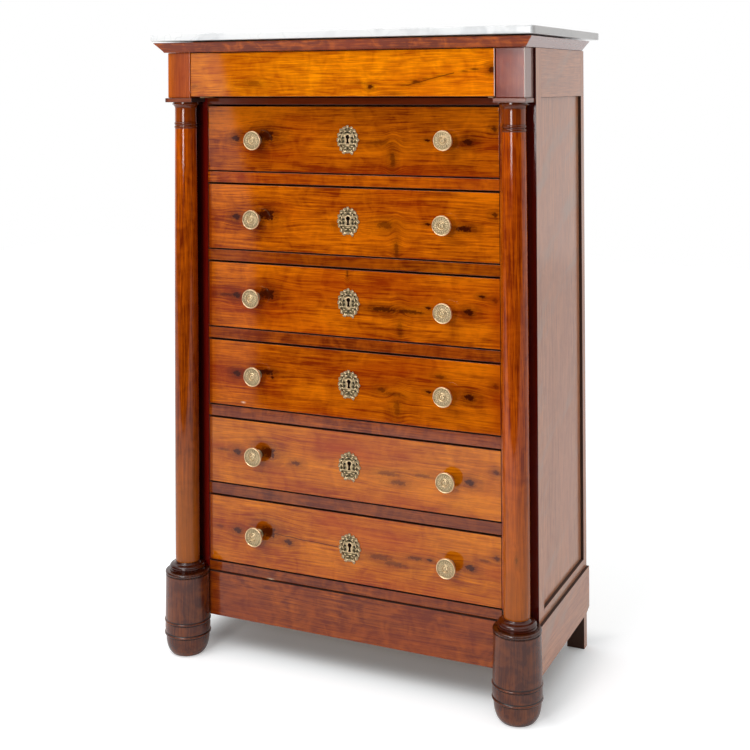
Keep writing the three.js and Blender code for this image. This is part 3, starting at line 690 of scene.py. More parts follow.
COLUMN_Y = round(edges("column_right", DEEP)[0] + edges("column_right", ACROSS)[1] - COLUMN_X, 1)
FOOT_TOP = edges("front_foot_right", UP)[1]
FRONT_DEPTH = edges("drawer_front_1", DEEP)[1]
BOX_REAR = edges("drawer_box_1", DEEP)[1]
HARDWARE_X = between("escutcheon_1", ACROSS)
KNOB_X = 245
# Behind the drawers' faces: where the side rails start and end, the stile's veneer and the front rails
FRONT_POST_REAR, REAR_POST_FRONT, VENEER, RAIL_DEPTH = 38, 363, 1.2, 60
SIDE_FRONT, SIDE_REAR = FRONT_POST_REAR + SEAM, REAR_POST_FRONT - SEAM


def foot_room(sign):
    """The round room that a front foot needs in the boards beside it."""
    low, high, wide, narrow = 60, FOOT_TOP + SEAM, 54.4, 53.3
    return turned_mesh("room", [(0, low), (wide, low), (narrow, high), (0, high)],
                       at(sign * COLUMN_X, COLUMN_Y, 0), 72)


# Marble slab with eased corners and worn arrises
def marble_slab():
    low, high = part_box("marble_top")
    corner, arris, spacing, chipped = 8 * MM, 2.6 * MM, 12 * MM, 0.12
    outline = []
    for cx, cy, start in (
        (high.x - corner, low.y + corner, -90), (high.x - corner, high.y - corner, 0),
        (low.x + corner, high.y - corner, 90), (low.x + corner, low.y + corner, 180),
    ):
        for step in range(9):
            angle = math.radians(start + step * 90 / 8)
            outline.append((cx + corner * math.cos(angle), cy + corner * math.sin(angle), angle))
    chance = random.Random("marble")
    dense = []
    for i, (x, y, angle) in enumerate(outline):
        nx, ny, _ = outline[(i + 1) % len(outline)]
        gap = math.hypot(nx - x, ny - y)
        count = max(1, round(gap / spacing))
        for step in range(count):
            t = step / count
            dense.append((x + (nx - x) * t, y + (ny - y) * t, math.cos(angle), math.sin(angle)))
    layers = []
    for step in range(6):
        turn = math.pi / 2 * step / 5
        layers.append((arris * (1 - math.sin(turn)), low.z + arris * (1 - math.cos(turn))))
    layers += [(inset, high.z - (level - low.z)) for inset, level in reversed(layers)]
    wear = [chance.uniform(0, 0.5 * MM) if chance.random() > chipped else chance.uniform(0, 1.3 * MM)
            for _ in dense]
    wear = [(wear[i - 1] + 2 * wear[i] + wear[(i + 1) % len(wear)]) / 4 for i in range(len(wear))]
    points, faces = [], []
    for inset, level in layers:
        edge = min(inset / arris, 1)
        for (x, y, out_x, out_y), worn in zip(dense, wear):
            pull = inset + worn * edge
            points.append((x - out_x * pull, y - out_y * pull, level))
    ring = len(dense)
    for row in range(len(layers) - 1):
        faces += [tuple(row * ring + i for i in face) for face in ring_faces(ring)]
    faces.append(tuple(reversed(range(ring))))
    faces.append(tuple((len(layers) - 1) * ring + i for i in range(ring)))
    mesh = mesh_of("marble_slab", points, faces)
    place_piece("marble_slab", mesh, "carcase", "marble", nodes=["marble_top"])


marble_slab()


# Cornice: three mitred runs with a slanted, slightly hollow face
def cornice_run(name, slot, finish, ends, out, along, origin, node):
    height, reach, depth, foot, lip, hollow, steps = 23.5, 18, 50, 1.6, 1.2, 0.4, 10
    section = [(-depth, 0), (-0.6, 0), (0, 0.6), (0, foot)]
    for step in range(1, steps + 1):
        share = step / steps
        section.append((reach * share - hollow * math.sin(math.pi * share),
                        foot + (height - foot - lip) * share))
    section += [(reach, height - 0.8), (reach - 0.8, height), (-depth, height)]
    points = []
    for end in ends:
        for outward, rise in section:
            points.append(origin + out * outward * MM + along * end(outward) * MM + Vector((0, 0, rise * MM)))
    count = len(section)
    faces = ring_faces(count) + [tuple(reversed(range(count))), tuple(range(count, 2 * count))]
    mesh = mesh_of(name, points, faces, 30)
    give_grain(mesh, ACROSS if abs(along.x) > 0.5 else DEEP, name, -0.45 if abs(along.x) > 0.5 else 0.1)
    return place_piece(name, mesh, "carcase", slot, finish, [node])


def cornice():
    seat_x, seat_y, rear = 459.5, -65.3, edges("cornice_right", DEEP)[1]
    cornice_run(
        "cornice_moulding_front", "front_wood", "cornice_wood",
        (lambda out: -(seat_x + out), lambda out: seat_x + out),
        Vector((0, -1, 0)), Vector((1, 0, 0)), at(0, seat_y, CORNICE_BOTTOM), "cornice_front",
    )
    gap = SEAM * math.sqrt(2)
    for name, sign in SIDES:
        runs = [lambda out: seat_y - out + gap, lambda out: rear]
        if sign < 0:
            runs.reverse()
        cornice_run(
            f"cornice_moulding_{name}", "side_wood", "cornice_side", runs,
            Vector((sign, 0, 0)), Vector((0, 1, 0)), at(sign * seat_x, 0, CORNICE_BOTTOM), f"cornice_{name}",
        )


cornice()


# Frieze blocks, slabs, columns and feet
def column_parts():
    """Profiles of the base, the shaft and the capital, which are turned separately and dowelled."""
    bottom, top = edges("column_right", UP)
    ogee = [(41, 204.1), (42.5, 206.6), (42.6, 210.2), (39.2, 214.2), (33.7, 215.6), (30.7, 217.8),
            (29.3, 220.3)]
    base = [(0, bottom), (42.4, bottom), (43, bottom + 0.6), (43, 202), (41.5, 202.6), (40.9, 203.2)]
    base += curve_through(ogee, 4) + [(28.2, 221.1), (0, 221.1)]
    body = [(29.3, 222.3), (29.25, 420), (28.9, 650), (28.2, 900), (27.2, 1120), (26.3, 1266)]
    shaft = [(0, 221.2), (28.4, 221.2), (28.9, 221.5)] + curve_through(body, 6)
    shaft += [(26.2, 1270.8), (0, 1270.8)]
    flare = [(26.2, 1320.2), (26.6, 1322.5), (28.1, 1325.6), (30.9, 1328.6), (33.2, 1329.6)]
    capital = [(0, 1270.9), (26.1, 1270.9)] + bead(26.2, 1271.2, 1277.9, 1.3) + [(25.2, 1278.2), (25.2, 1279)]
    capital += bead(26.2, 1279.3, 1286, 1.3) + [(26.1, 1286.4)]
    capital += curve_through([(26.1, 1290), (26.1, 1306), (26.2, 1320.2)], 3)[:-1] + curve_through(flare, 4)
    capital += [(33.5, 1330.2), (33.5, 1331), (30.5, 1331.4), (30.5, top), (0, top)]
    return {
        "base": (base, "base_wood"), "shaft": (shaft, "column_wood"), "capital": (capital, "capital_wood"),
    }


def column_tone(sign):
    """Darker rings and flare; the left column darkens towards its foot, the right one stays light."""
    rings_low, rings_high, flare, start, run = 1271.05, 1286.5, 1321, 300, 900

    def tone(point):
        height = point.z / MM
        if rings_low < height < rings_high or height > flare:
            return -2.6
        share = min(max((height - start) / run, 0), 1)
        return -0.7 + share if sign > 0 else -2.8 + 2.6 * share * share
    return tone


def foot_tone(point):
    """Black in the grooves beside the rings and dark round the top."""
    height, drum_top = point.z / MM, 189
    grooves = (44.4, 47.4), (52, 55), (76, 78.3), (82.9, 86)
    if any(low < height < high for low, high in grooves):
        return -5.4
    return 0 if height < drum_top else -3.2


def foot_mesh(name, sign):
    bulb = [(33, 0), (37.5, 1.0), (42, 5.4), (46.2, 12), (49.4, 21), (51.3, 31), (51.9, 39), (52, 45.2)]
    drum = [(53.9, 83.6), (53.6, 110), (53, 150), (52.6, 186), (52.5, 189.6)]
    profile = [(0, 0)] + curve_through(bulb, 4) + [(51.4, 45.8), (51.4, 46.8)]
    profile += bead(53.9, 47, 52.2, 2.0) + [(53.4, 52.8), (53.9, 53.6)]
    profile += curve_through([(54, 54), (54.4, 65), (54, 77)], 5) + [(53.4, 77.6)]
    profile += bead(53.9, 78, 83, 2.0) + [(53.3, 83.4)] + curve_through(drum, 5)
    profile += [(51.5, 190.1), (51.4, 191)] + bead(49.4, 191.2, 200, 4.1, 10)[:-1] + [(49, 200), (0, 200)]
    mesh = turned_mesh(name, profile, at(sign * COLUMN_X, COLUMN_Y, 0))
    give_grain(mesh, UP, name, foot_tone)
    return mesh


for name, sign in SIDES:
    low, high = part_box(f"frieze_block_{name}")
    if sign > 0:
        # The right block stands a little proud of the side
        high.x += 3 * MM
    block_finish, slab_finish = ("sheen_painted_wood", "slab_wood") if sign > 0 else ("red_wood", "dim_slab_wood")
    board(f"block_{name}", low, high, UP, "carcase", "front_wood", block_finish, [f"frieze_block_{name}"],
          2.2, tone=0)
    node = f"capital_slab_{name}"
    board(f"slab_{name}", *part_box(node), ACROSS, "carcase", "front_wood", slab_finish, [node], 0.9)
    for part, (profile, finish) in column_parts().items():
        label = f"column_{part}_turned_{name}"
        mesh = turned_mesh(label, profile, at(sign * COLUMN_X, COLUMN_Y, 0), limit=-COLUMN_Y - SEAM)
        give_grain(mesh, UP, f"column_{name}", column_tone(sign))
        place_piece(label, mesh, "carcase", "front_wood", finish, [f"column_{name}"])
    label = f"turned_foot_{name}"
    place_piece(label, foot_mesh(label, sign), "carcase", "dark_wood", nodes=[f"front_foot_{name}"])


# Side frames: two posts, two rails and a recessed panel on each side
def side_boards(name, sign):
    bottom, top, rail_top = PLINTH_TOP + SEAM, CORNICE_BOTTOM - SEAM, LOWEST_OPENING
    node, post_inner, panel_inner, panel_outer = [f"side_frame_{name}"], 417, 444.5, 453
    parts = {
        "front_post": ((OPENING_HALF, VENEER + 0.1, bottom), (CARCASE_HALF, FRONT_POST_REAR, top), UP),
        "rear_post": ((post_inner, REAR_POST_FRONT, 0), (CARCASE_HALF, CARCASE_REAR, top), UP),
        "top_side_rail": ((SIDE_INNER, SIDE_FRONT, FRIEZE_BOTTOM), (CARCASE_HALF, SIDE_REAR, top), DEEP),
        "bottom_side_rail": ((SIDE_INNER, SIDE_FRONT, bottom), (CARCASE_HALF, SIDE_REAR, rail_top), DEEP),
    }
    for part, (low, high, along) in parts.items():
        front = part == "front_post"
        board(f"{part}_{name}", *mirrored(sign, low, high), along, "carcase", "side_wood", nodes=node,
              edge=0.2 if front else 0.5, cuts=[foot_room(sign)] if front else [], tone=0)
    strip = 9 if sign > 0 else 0
    corners = mirrored(sign, (OPENING_HALF + strip, 0, bottom), (CARCASE_HALF, VENEER, top))
    finish = "stile_wood" if sign > 0 else "red_stile_wood"
    board(f"stile_veneer_{name}", *corners, UP, "carcase", "front_wood", finish, node, 0.2, [foot_room(sign)])
    if strip:
        corners = at(OPENING_HALF, 0, LOWEST_OPENING), at(OPENING_HALF + strip - 0.2, VENEER, TOP_OPENING)
        board(f"stile_strip_{name}", *corners, UP, "carcase", "front_wood", "front_wood", node, 0.3)
    corners = mirrored(sign, (panel_inner, SIDE_FRONT, rail_top + SEAM),
                       (panel_outer, SIDE_REAR, FRIEZE_BOTTOM - SEAM))
    board(f"panel_board_{name}", *corners, UP, "carcase", "side_wood", nodes=[f"side_panel_{name}"],
          edge=0.5, tone=0)


for name, sign in SIDES:
    side_boards(name, sign)


# Plinth boards that butt against the feet
def plinth():
    shown, (front, rear) = 3, edges("plinth_front", DEEP)
    low, high = at(-COLUMN_X, front, PLINTH_BOTTOM), at(COLUMN_X, rear, PLINTH_TOP - shown)
    board("plinth_board_front", low, high, ACROSS, "carcase", "front_wood", "plinth_wood",
          ["plinth_front"], 1.2, [foot_room(-1), foot_room(1)], 0)
    inner, outer = edges("plinth_right", ACROSS)
    rise, near, far, below, left, right = 9.3, 360, CARCASE_REAR + 1, 80, 430, 480
    post_bottom, post_top, post_rear = 60, 210, 400
    for name, sign in SIDES:
        # The lower edge of each side board rises a little at the rear foot
        corners = mirrored(sign, (inner, COLUMN_Y, PLINTH_BOTTOM), (outer, CARCASE_REAR, PLINTH_TOP))
        section = [(near, PLINTH_BOTTOM), (far, PLINTH_BOTTOM + rise), (far, below), (near, below)]
        wedge = mesh_of("wedge", [at(x, y, z) for x in (left, right) for y, z in section], [
            (0, 1, 2, 3), (7, 6, 5, 4), (0, 4, 5, 1), (1, 5, 6, 2), (2, 6, 7, 3), (3, 7, 4, 0),
        ])
        if sign < 0:
            wedge.transform(Matrix.Diagonal((-1, 1, 1, 1)))
            wedge.flip_normals()
        low, high = (left, SIDE_REAR, post_bottom), (CARCASE_HALF + SEAM, post_rear, post_top)
        post = box_mesh("post", *mirrored(sign, low, high))
        board(f"plinth_board_{name}", *corners, DEEP, "carcase", "side_wood", nodes=[f"plinth_{name}"],
              edge=1.0, cuts=[foot_room(sign), post, wedge], tone=0)


plinth()


# Back: upright boards between the rear posts
def back():
    low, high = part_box("back_panel")
    count, gap = 5, 0.8 * MM
    width = (high.x - low.x) / count
    for number in range(count):
        start = low.x + number * width
        corners = (start + gap / 2, low.y, low.z), (start + width - gap / 2, high.y, high.z)
        board(f"back_board_{number + 1}", *corners, UP, "carcase", "inner_wood", nodes=["back_panel"],
              edge=1.6)


back()


# Dividers: a polished rail in front, a dust board and two guides behind it
RAIL_TONES = {2: 0.9, 3: -1.3, 4: 0.6, 6: -1.6}
RAIL_FINISHES = {1: "shadow_wood", 2: "front_wood", 3: "front_wood", 7: "chipped_wood"}


def drawer_bottom(number):
    """The level of the opening's lower edge, under a drawer."""
    return TOP_OPENING - number * PITCH + RAIL_HEIGHT


def dividers():
    dust_depth, guide_inner, guide_outer, guide_height = 12, OPENING_HALF + 1, 395, 6
    half, inner, behind = OPENING_HALF - SEAM, SIDE_INNER - SEAM, RAIL_DEPTH + 0.2
    for number in range(1, 8):
        node = [f"drawer_divider_{number}"]
        top = FRIEZE_BOTTOM if number == 1 else drawer_bottom(number - 1)
        bottom = {1: TOP_OPENING, 7: PLINTH_TOP - 2.2}.get(number, top - RAIL_HEIGHT)
        face_top = top - {1: 0, 7: 1.8}.get(number, 0.5)
        rooms = [foot_room(-1), foot_room(1)] if number == 7 else []
        board(f"rail_{number}", at(-half, 0, bottom + 0.4), at(half, RAIL_DEPTH, face_top), ACROSS, "carcase",
              "front_wood", RAIL_FINISHES.get(number, "plinth_wood"), node, 0.9, rooms,
              RAIL_TONES.get(number, -0.5))
        board(f"dust_board_{number}", at(-inner, behind, top - dust_depth), at(inner, SIDE_REAR, top), ACROSS,
              "carcase", "inner_wood", nodes=node, edge=0.6)
        for name, sign in SIDES:
            low, high = (guide_inner, behind, top + 0.1), (guide_outer, SIDE_REAR, top + guide_height)
            corners = mirrored(sign, low, high)
            board(f"guide_{name}_{number}", *corners, DEEP, "carcase", "inner_wood", nodes=node, edge=0.8)


dividers()


# Drawers, with their knobs, plates and locks
def keyhole_points(grow=0.0, steps=14):
    """Outline of the keyhole round the middle of the plate, in millimetres: x across and z up."""
    radius, neck, foot, top, height = 5.2 + grow, 2.6 + grow, 3.9 + grow, 12, 21
    middle, bottom = top - 5.2, top - height - grow
    start = math.asin(neck / radius) - math.pi / 2
    end = math.pi * 1.5 - math.asin(neck / radius)
    flare, waist = bottom + 2.6, bottom + 5.4
    line = [(-neck, waist), (-foot, flare), (-foot, bottom), (foot, bottom), (foot, flare), (neck, waist)]
    for step in range(steps + 1):
        angle = start + (end - start) * step / steps
        line.append((radius * math.cos(angle), middle + radius * math.sin(angle)))
    return line


def prism(line, centre, front, rear):
    """A closed shape with the given outline (x and z), running from front to rear."""
    count = len(line)
    points = [(centre[0] + x, y, centre[1] + z) for y in (front, rear) for x, z in line]
    faces = [tuple(reversed(face)) for face in ring_faces(count)]
    faces += [tuple(range(count)), tuple(reversed(range(count, 2 * count)))]
    return mesh_of("prism", [at(*point) for point in points], faces)


def turned_point(x, z, a, b, turn):
    """The place that lies a along and b across a direction turned from the x axis, seen from (x, z)."""
    return x + a * math.cos(turn) - b * math.sin(turn), z + a * math.sin(turn) + b * math.cos(turn)


def round_line(radius, steps=20):
    return [(radius * math.cos(2 * math.pi * i / steps), radius * math.sin(2 * math.pi * i / steps))
            for i in range(steps)]


# Knots as x, height from the drawer's middle, half width, half height and strength; the mark at -212 beside
# the left knob, and drawer 4's own at -214, are partly a knot and partly the knob's painted shadow
SHARED_KNOTS_AND_SHADOWS = [(-296, -1, 10, 7, 1), (-212, 8, 19, 12, 0.85), (-199, -2, 3.5, 3, 1), (204, 1, 6, 3, 1),
                (302, -2, 11, 7, 1), (364, 28, 6, 5, 0.6)]
DRAWER_KNOTS_AND_SHADOWS = {
    1: [(88, -6, 30, 5, 0.35), (118, -44, 6, 16, 0.5)],
    2: [(98, -5, 16, 8, 0.5), (126, -60, 5, 18, 0.45), (-26, -11, 14, 6, 0.3), (292, -6, 17, 6, 0.8)],
    3: [(-318, -1, 26, 3.5, 0.5), (92, -9, 30, 5, 0.65), (158, -10, 34, 4, 0.6), (333, 35, 7, 3, 0.7),
        (134, -52, 6, 18, 0.35), (1, 68, 2, 8, 0.5)],
    4: [(-214, 10, 20, 6, 0.7), (88, -5, 9, 5, 0.5), (118, -12, 22, 4, 0.4), (125, -42, 7, 16, 0.4),
        (232, 38, 10, 4, 0.45)],
    5: [(-332, 1, 16, 3, 0.45), (-136, -10, 11, 5, 0.6), (102, -5, 26, 5, 0.45), (130, -23, 18, 5, 0.55),
        (190, 0, 18, 4, 0.45)],
    6: [(-345, 3, 9, 4, 0.4), (-157, -10, 10, 6, 0.7), (82, -10, 28, 6, 0.5), (118, -20, 26, 5, 0.5),
        (170, 0, 16, 4, 0.6), (336, 19, 13, 3, 0.45)],
}
FRIEZE_KNOTS = [(-214, -21, 24, 7, 0.55), (-376, -27, 9, 5, 0.5), (90, -30, 8, 6, 1), (68, -22, 16, 2.5, 0.5),
                (202, -20, 11, 4, 0.9), (176, -27, 16, 2.5, 0.6), (228, -13, 16, 2.5, 0.55),
                (262, -6, 18, 2, 0.5), (316, 3, 7, 1.8, 0.7), (340, 7, 9, 2.5, 0.8), (381, 6, 10, 9, 1),
                (150, -46, 18, 5, 0.4)]
# How far each knob was set from its proper place: across and up, left one first
KNOB_MOVES = {
    1: ((3.5, -4), (2, 2.5)), 2: ((-0.5, -3.5), (-2, 2.5)), 3: ((-2.5, -2.5), (-1, -3.5)),
    4: ((1, 1), (-2, -0.5)), 5: ((1.5, -0.5), (3, -0.5)), 6: ((3, -1), (4, -1.5)),
}
DRAWER_CONTRASTS = {4: 1.5, 5: 1.4, 6: 1.5}
DRAWER_TONES = {1: 0, 2: 0.75, 3: 0.65, 4: 0.7, 5: 0.2, 6: 0.3}
# How much darker each drawer gets towards its lower right
DRAWER_SHADES = {1: 0.6, 2: 0.1, 3: 0.2, 4: 0.05, 5: 0.1, 6: 0.15}


def drawer_wood(number, middle):
    """The veneer of one drawer: its log's knots and its own, the knob's painted shadow among them, its marks,
    the painted shade at its left end and, on drawers 3 and 4, a darker right end.
    """
    own, near = DRAWER_KNOTS_AND_SHADOWS[number], 16
    shared = [mark for mark in SHARED_KNOTS_AND_SHADOWS
              if not any(math.hypot(mark[0] - k[0], mark[1] - k[1]) < near for k in own)]
    knots_and_shadows = [(x, middle + z, 1.35 * wide, 1.3 * high, min(1.4 * strength, 1))
             for x, z, wide, high, strength in shared + own]
    hazy = number > 4
    colours = PALE if hazy else (LIGHT, DARK, RED)
    crack = ((-221, middle + 7), (-26, middle - 3)) if number == 6 else None
    chip = (-279, middle - 69, 3, 1.2, 1.0) if number == 4 else None
    # Painted shade at the left end, where the left column shades the drawer and shows dark in its polish;
    # below the first drawer a wider band
    fades = [(ACROSS, -374.5, -371.5, 0.9, (0.12, 0.003, 0.001), 0.3)]
    if number > 1:
        fades.insert(0, (ACROSS, -368, -364.5, 0.6, (0.17, 0.016, 0.0004), 0.25 if hazy else 0.0))
    if number in (3, 4):
        fades.append((ACROSS, 378, 335, 0.45, (0.33, 0.035, 0.0006), 0))
    return wood(f"drawer_cherry_{number}", *colours, DRAWER_CONTRASTS.get(number, 1.8), (0.02, 0.045), knots_and_shadows,
                0.006, DEEP, middle, crack, chip, curl=0.22, sunk=DRAWER_SHADES[number], fades=fades,
                ior=1.44)


def drawer_face(number, middle, spots):
    """A drawer's front with its keyhole and the holes for its knobs' shanks."""
    label, node = f"drawer_face_{number}", f"drawer_front_{number}"
    low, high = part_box(node)
    # Room under the face and above it, half the width of a shank's hole, and a length that cuts through
    under, above, shank, through = 0.6 if number == 6 else 1.5, 3.2, 3.6, (-2, FRONT_DEPTH + 2)
    mesh = box_mesh(label, low + Vector((0, 0, under * MM)), high - Vector((0, 0, above * MM)))
    piece = place_piece(label, mesh, f"drawer_{number}", "front_wood", drawer_wood(number, middle), [node])
    shapes = [prism(keyhole_points(), (HARDWARE_X, middle), *through)]
    shapes += [prism(round_line(shank), spot, *through) for spot in spots]
    cut(piece, *shapes)
    give_grain(piece.data, ACROSS, label, DRAWER_TONES[number])
    ease(piece, 1.2)


def knob_carving(radius, height, angle):
    """Rise of the knob's face: a ring of leaves, a plain band and a small flower on the boss."""
    face, boss, flower, band, field = 26, 1, 7, 10.6, 19.6
    if height < face or radius > field or radius < boss:
        return 0
    if radius > band:
        leaf = abs(math.cos(9 * angle + 0.22 * (radius - 15))) - 0.55
        vein = 0.5 * abs(math.sin(0.75 * (radius - band)))
        return (1.1 * leaf - vein) * math.sin(math.pi * (radius - band) / (field - band))
    if radius < flower:
        return 0.5 * math.cos(7 * angle) * math.sin(math.pi * (radius - boss) / (flower - boss))
    return 0


def knob_hollow(radius, height):
    """How much dirt lies at a place on a knob: in the carving, round the boss and on the neck."""
    neck, rim = 20, 20.3
    if height < neck:
        return 0.75
    if radius >= rim:
        return 0.0
    if 3 < radius < 4.4:
        return 0.15
    if radius < 3 or 5.2 < radius < 7:
        return 0.6
    return min(max((27.9 - height) / 1.6, 0.25), 0.75)


def knob_mesh():
    """A knob with a rolled rim, a ring of leaves and a boss, its face towards the viewer."""
    shank = [(0, -27), (2.8, -27), (3.2, -26.6), (3.2, -25.7)]
    nut = [(6.6, -25.6), (7, -25.2), (7, -22), (6.7, -21.6), (3.2, -21.6), (3.2, 0)]
    foot = [(11.6, 0), (12, 0.4), (12, 1.4), (11.2, 2.3), (9, 3.2), (7.8, 5)]
    neck = [(7.5, 7), (7.3, 10), (7.6, 13.5), (9.4, 17), (13.5, 19.8), (18.5, 21.6), (21.6, 22.6)]
    rim = [(22.4, 23), (23, 24.6), (22.9, 26.6), (22.2, 28), (21.4, 28.4), (20.6, 28.1)]
    field = [(20.1, 27.3), (19.7, 26.6)] + [(19.4 - 0.55 * step, 26.7 + 0.03 * step) for step in range(1, 17)]
    band = [(10.3, 26.6), (9.9, 27.2), (9.3, 28.0), (8.7, 28.3), (8.0, 28.1), (7.5, 27.3), (7.1, 26.9)]
    boss = [(6.4, 27.2), (5.6, 27.8)] + curve_through([(4.9, 28.4), (4, 29), (2.2, 29.05)], 3) + [(0, 29.1)]
    profile = shank + nut + foot + curve_through(neck, 4) + curve_through(rim, 4) + field + band + boss
    mesh = turned_mesh("knob", profile, Vector((0, 0, 0)), 108, "front", knob_carving)
    store(mesh, "hollow", [knob_hollow(math.hypot(point.co.x, point.co.z) / MM, -point.co.y / MM)
                           for point in mesh.vertices])
    return mesh


# Escutcheon piercings: middle, half sizes and tilt, in millimetres and radians
PAIRED_PIERCINGS = [
    (6.2, 23.2, 2.9, 1.9, -0.5), (12.2, 4.6, 3.3, 2.5, -0.6), (11.6, -4.2, 2.2, 3.9, 0.5),
    (5.8, -19.4, 1.7, 3.4, -0.45), (15, 16.6, 2.0, 3.9, 0.8), (18.9, 8.2, 1.8, 3.4, 0.3),
    (19.5, -4.4, 1.8, 3.6, -0.15), (16.6, -14.2, 1.9, 3.6, -0.6), (10.8, -24.2, 2.8, 1.7, 0.5),
]
PIERCINGS = [(0.5, 17.8, 7.6, 1.9, 0), (0, 26.4, 2.6, 1.5, 0), (0, -20, 1.6, 3.4, 0)]
PIERCINGS += [(sign * x, z, wide, high, sign * tilt) for _, sign in SIDES
              for x, z, wide, high, tilt in PAIRED_PIERCINGS]
# Half width and half height of a plate, then how far its middle, its leaves and its cord stand out
PLATE_HALF, PLATE_RISE, PLATE_MIDDLE, LEAF_SEAT, CORD_SEAT = 27.5, 33.5, 1.15, 1.75, 1.9


def escutcheon_outline(points=240):
    line = []
    for i in range(points):
        angle = 2 * math.pi * i / points
        foot = abs(math.atan2(math.cos(angle), -math.sin(angle)))
        ribbon = 0.1 * math.exp(-(((foot - 0.42) / 0.17) ** 2))
        dip = -0.08 * math.exp(-((foot / 0.16) ** 2))
        leaf = abs(math.cos(8 * (angle - math.pi / 2)))
        uneven = 0.035 * math.sin(3 * angle + 1) * math.cos(5 * angle) + 0.02 * math.sin(11 * angle + 2)
        radius = 0.85 + 0.15 * leaf ** 0.7 + 0.02 * math.cos(37 * angle) + ribbon + dip + uneven
        line.append((PLATE_HALF * radius * math.cos(angle), PLATE_RISE * radius * math.sin(angle)))
    return line


def plate_hollow(x, z):
    """How much dirt lies at a place on the plate: none on the shield, most at the edges of the piercings."""
    for hole_x, hole_z, wide, high, tilt in PIERCINGS:
        a = (x - hole_x) * math.cos(tilt) + (z - hole_z) * math.sin(tilt)
        b = (z - hole_z) * math.cos(tilt) - (x - hole_x) * math.sin(tilt)
        if math.hypot(a / (wide + 0.25), b / (high + 0.25)) < 1:
            return 1.1
    return 0.15 if math.hypot(x / 9.5, (z - 1) / 15) < 1 else 0.8


def escutcheon_mesh():
    """The pierced plate with a raised rim round the keyhole and a wreath of small leaves."""
    curve = bpy.data.curves.new("plate", "CURVE")
    curve.dimensions = "2D"
    curve.fill_mode = "BOTH"
    curve.extrude = 0.45 * MM
    curve.bevel_depth = 0.4 * MM
    curve.bevel_resolution = 2
    outlines = [escutcheon_outline(), keyhole_points(0.3)]
    for x, z, wide, high, tilt in PIERCINGS:
        outlines.append([turned_point(x, z, wide * a, high * b, tilt) for a, b in round_line(1, 14)])
    for line in outlines:
        spline = curve.splines.new("POLY")
        spline.points.add(len(line) - 1)
        for point, (x, z) in zip(spline.points, line):
            point.co = (x * MM, z * MM, 0, 1)
        spline.use_cyclic_u = True
    holder = new_object("plate", curve)
    flat = worked_out(holder)
    bpy.data.objects.remove(holder)
    points = [(point.co.x, -PLATE_MIDDLE * MM - point.co.z, point.co.y) for point in flat.vertices]
    faces = [tuple(face.vertices) for face in flat.polygons]
    hollow = [plate_hollow(x / MM, z / MM) for x, _, z in points]
    for x, z, length, width, turn in escutcheon_leaves():
        add_leaf(points, faces, hollow, x, z, length, width, turn)
    for x, z in ((0, 25.4), (0, -25.6), (-22.6, 0.5), (22.6, 0.5)):
        add_leaf(points, faces, hollow, x, z, 2.4, 2.4, 0)
    add_rim(points, faces, hollow, keyhole_points(1.5, 20), 0.6)
    mesh = mesh_of("escutcheon", points, faces, 50)
    store(mesh, "hollow", hollow[:len(mesh.vertices)])
    return mesh


def escutcheon_leaves():
    """Middle, length, width and turn of each leaf of the wreath, in millimetres and radians."""
    leaves = []
    chance = random.Random(7)
    for sign in (-1, 1):
        for step in range(7):
            angle = math.radians(66 - step * 22.5)
            for share, length, wide, tilt in ((0.86, 8.6, 3.4, 0.7), (0.62, 7, 2.8, -0.6)):
                x, z = PLATE_HALF * share * math.cos(angle), PLATE_RISE * share * math.sin(angle)
                turn = (angle + math.pi / 2 + tilt) * sign + (0 if sign > 0 else math.pi)
                turn += chance.uniform(-0.3, 0.3)
                length *= chance.uniform(0.8, 1.15)
                leaves.append((sign * x, z, length, wide * chance.uniform(0.75, 1.2), turn))
        leaves += [(sign * 8.8, -28, 13, 3.4, sign * -0.35), (sign * 6.5, 20.8, 8, 2.6, sign * 0.5)]
        leaves.append((sign * 7.4, 9.8, 6, 2.6, sign * -0.9))
    leaves += [(0, 29.8, 5.5, 3.8, math.pi / 2), (0, 13.6, 9, 2.4, 0), (0, -13.6, 12, 2.8, 0)]
    return leaves


def add_leaf(points, faces, hollow, x, z, length, width, turn):
    """A small domed leaf with a ridge, on the plate's face."""
    rows, across, start = 7, 6, len(points)
    for row in range(rows + 1):
        along = row / rows
        half = width / 2 * math.sin(math.pi * (0.06 + 0.88 * along)) ** 0.8
        for step in range(across + 1):
            side = step / across * 2 - 1
            a, b = (along - 0.5) * length, side * half
            rise = 1.55 * (1 - side * side) ** 0.5 * math.sin(math.pi * (0.08 + 0.84 * along)) + 0.05
            px, pz = turned_point(x, z, a, b, turn)
            points.append((px * MM, (-LEAF_SEAT - rise * 0.85) * MM, pz * MM))
            hollow.append(-0.05 if abs(side) < 0.6 else 0.75)
    for row in range(rows):
        for step in range(across):
            a = start + row * (across + 1) + step
            faces.append((a, a + 1, a + across + 2, a + across + 1))


def add_rim(points, faces, hollow, line, thick):
    """A raised cord along a closed line on the plate's face."""
    count, around, start = len(line), 8, len(points)
    for i, (x, z) in enumerate(line):
        before, after = line[i - 1], line[(i + 1) % count]
        dx, dz = after[0] - before[0], after[1] - before[1]
        size = math.hypot(dx, dz) or 1
        for step in range(around):
            angle = 2 * math.pi * step / around
            out, rise = thick * math.cos(angle), thick * math.sin(angle)
            points.append(((x + dz / size * out) * MM, (-CORD_SEAT - rise) * MM, (z - dx / size * out) * MM))
            hollow.append(0.0 if rise > 0 else 0.7)
    for i in range(count):
        for step in range(around):
            a, b, after = start + i * around, start + (i + 1) % count * around, (step + 1) % around
            faces.append((a + step, b + step, b + after, a + after))


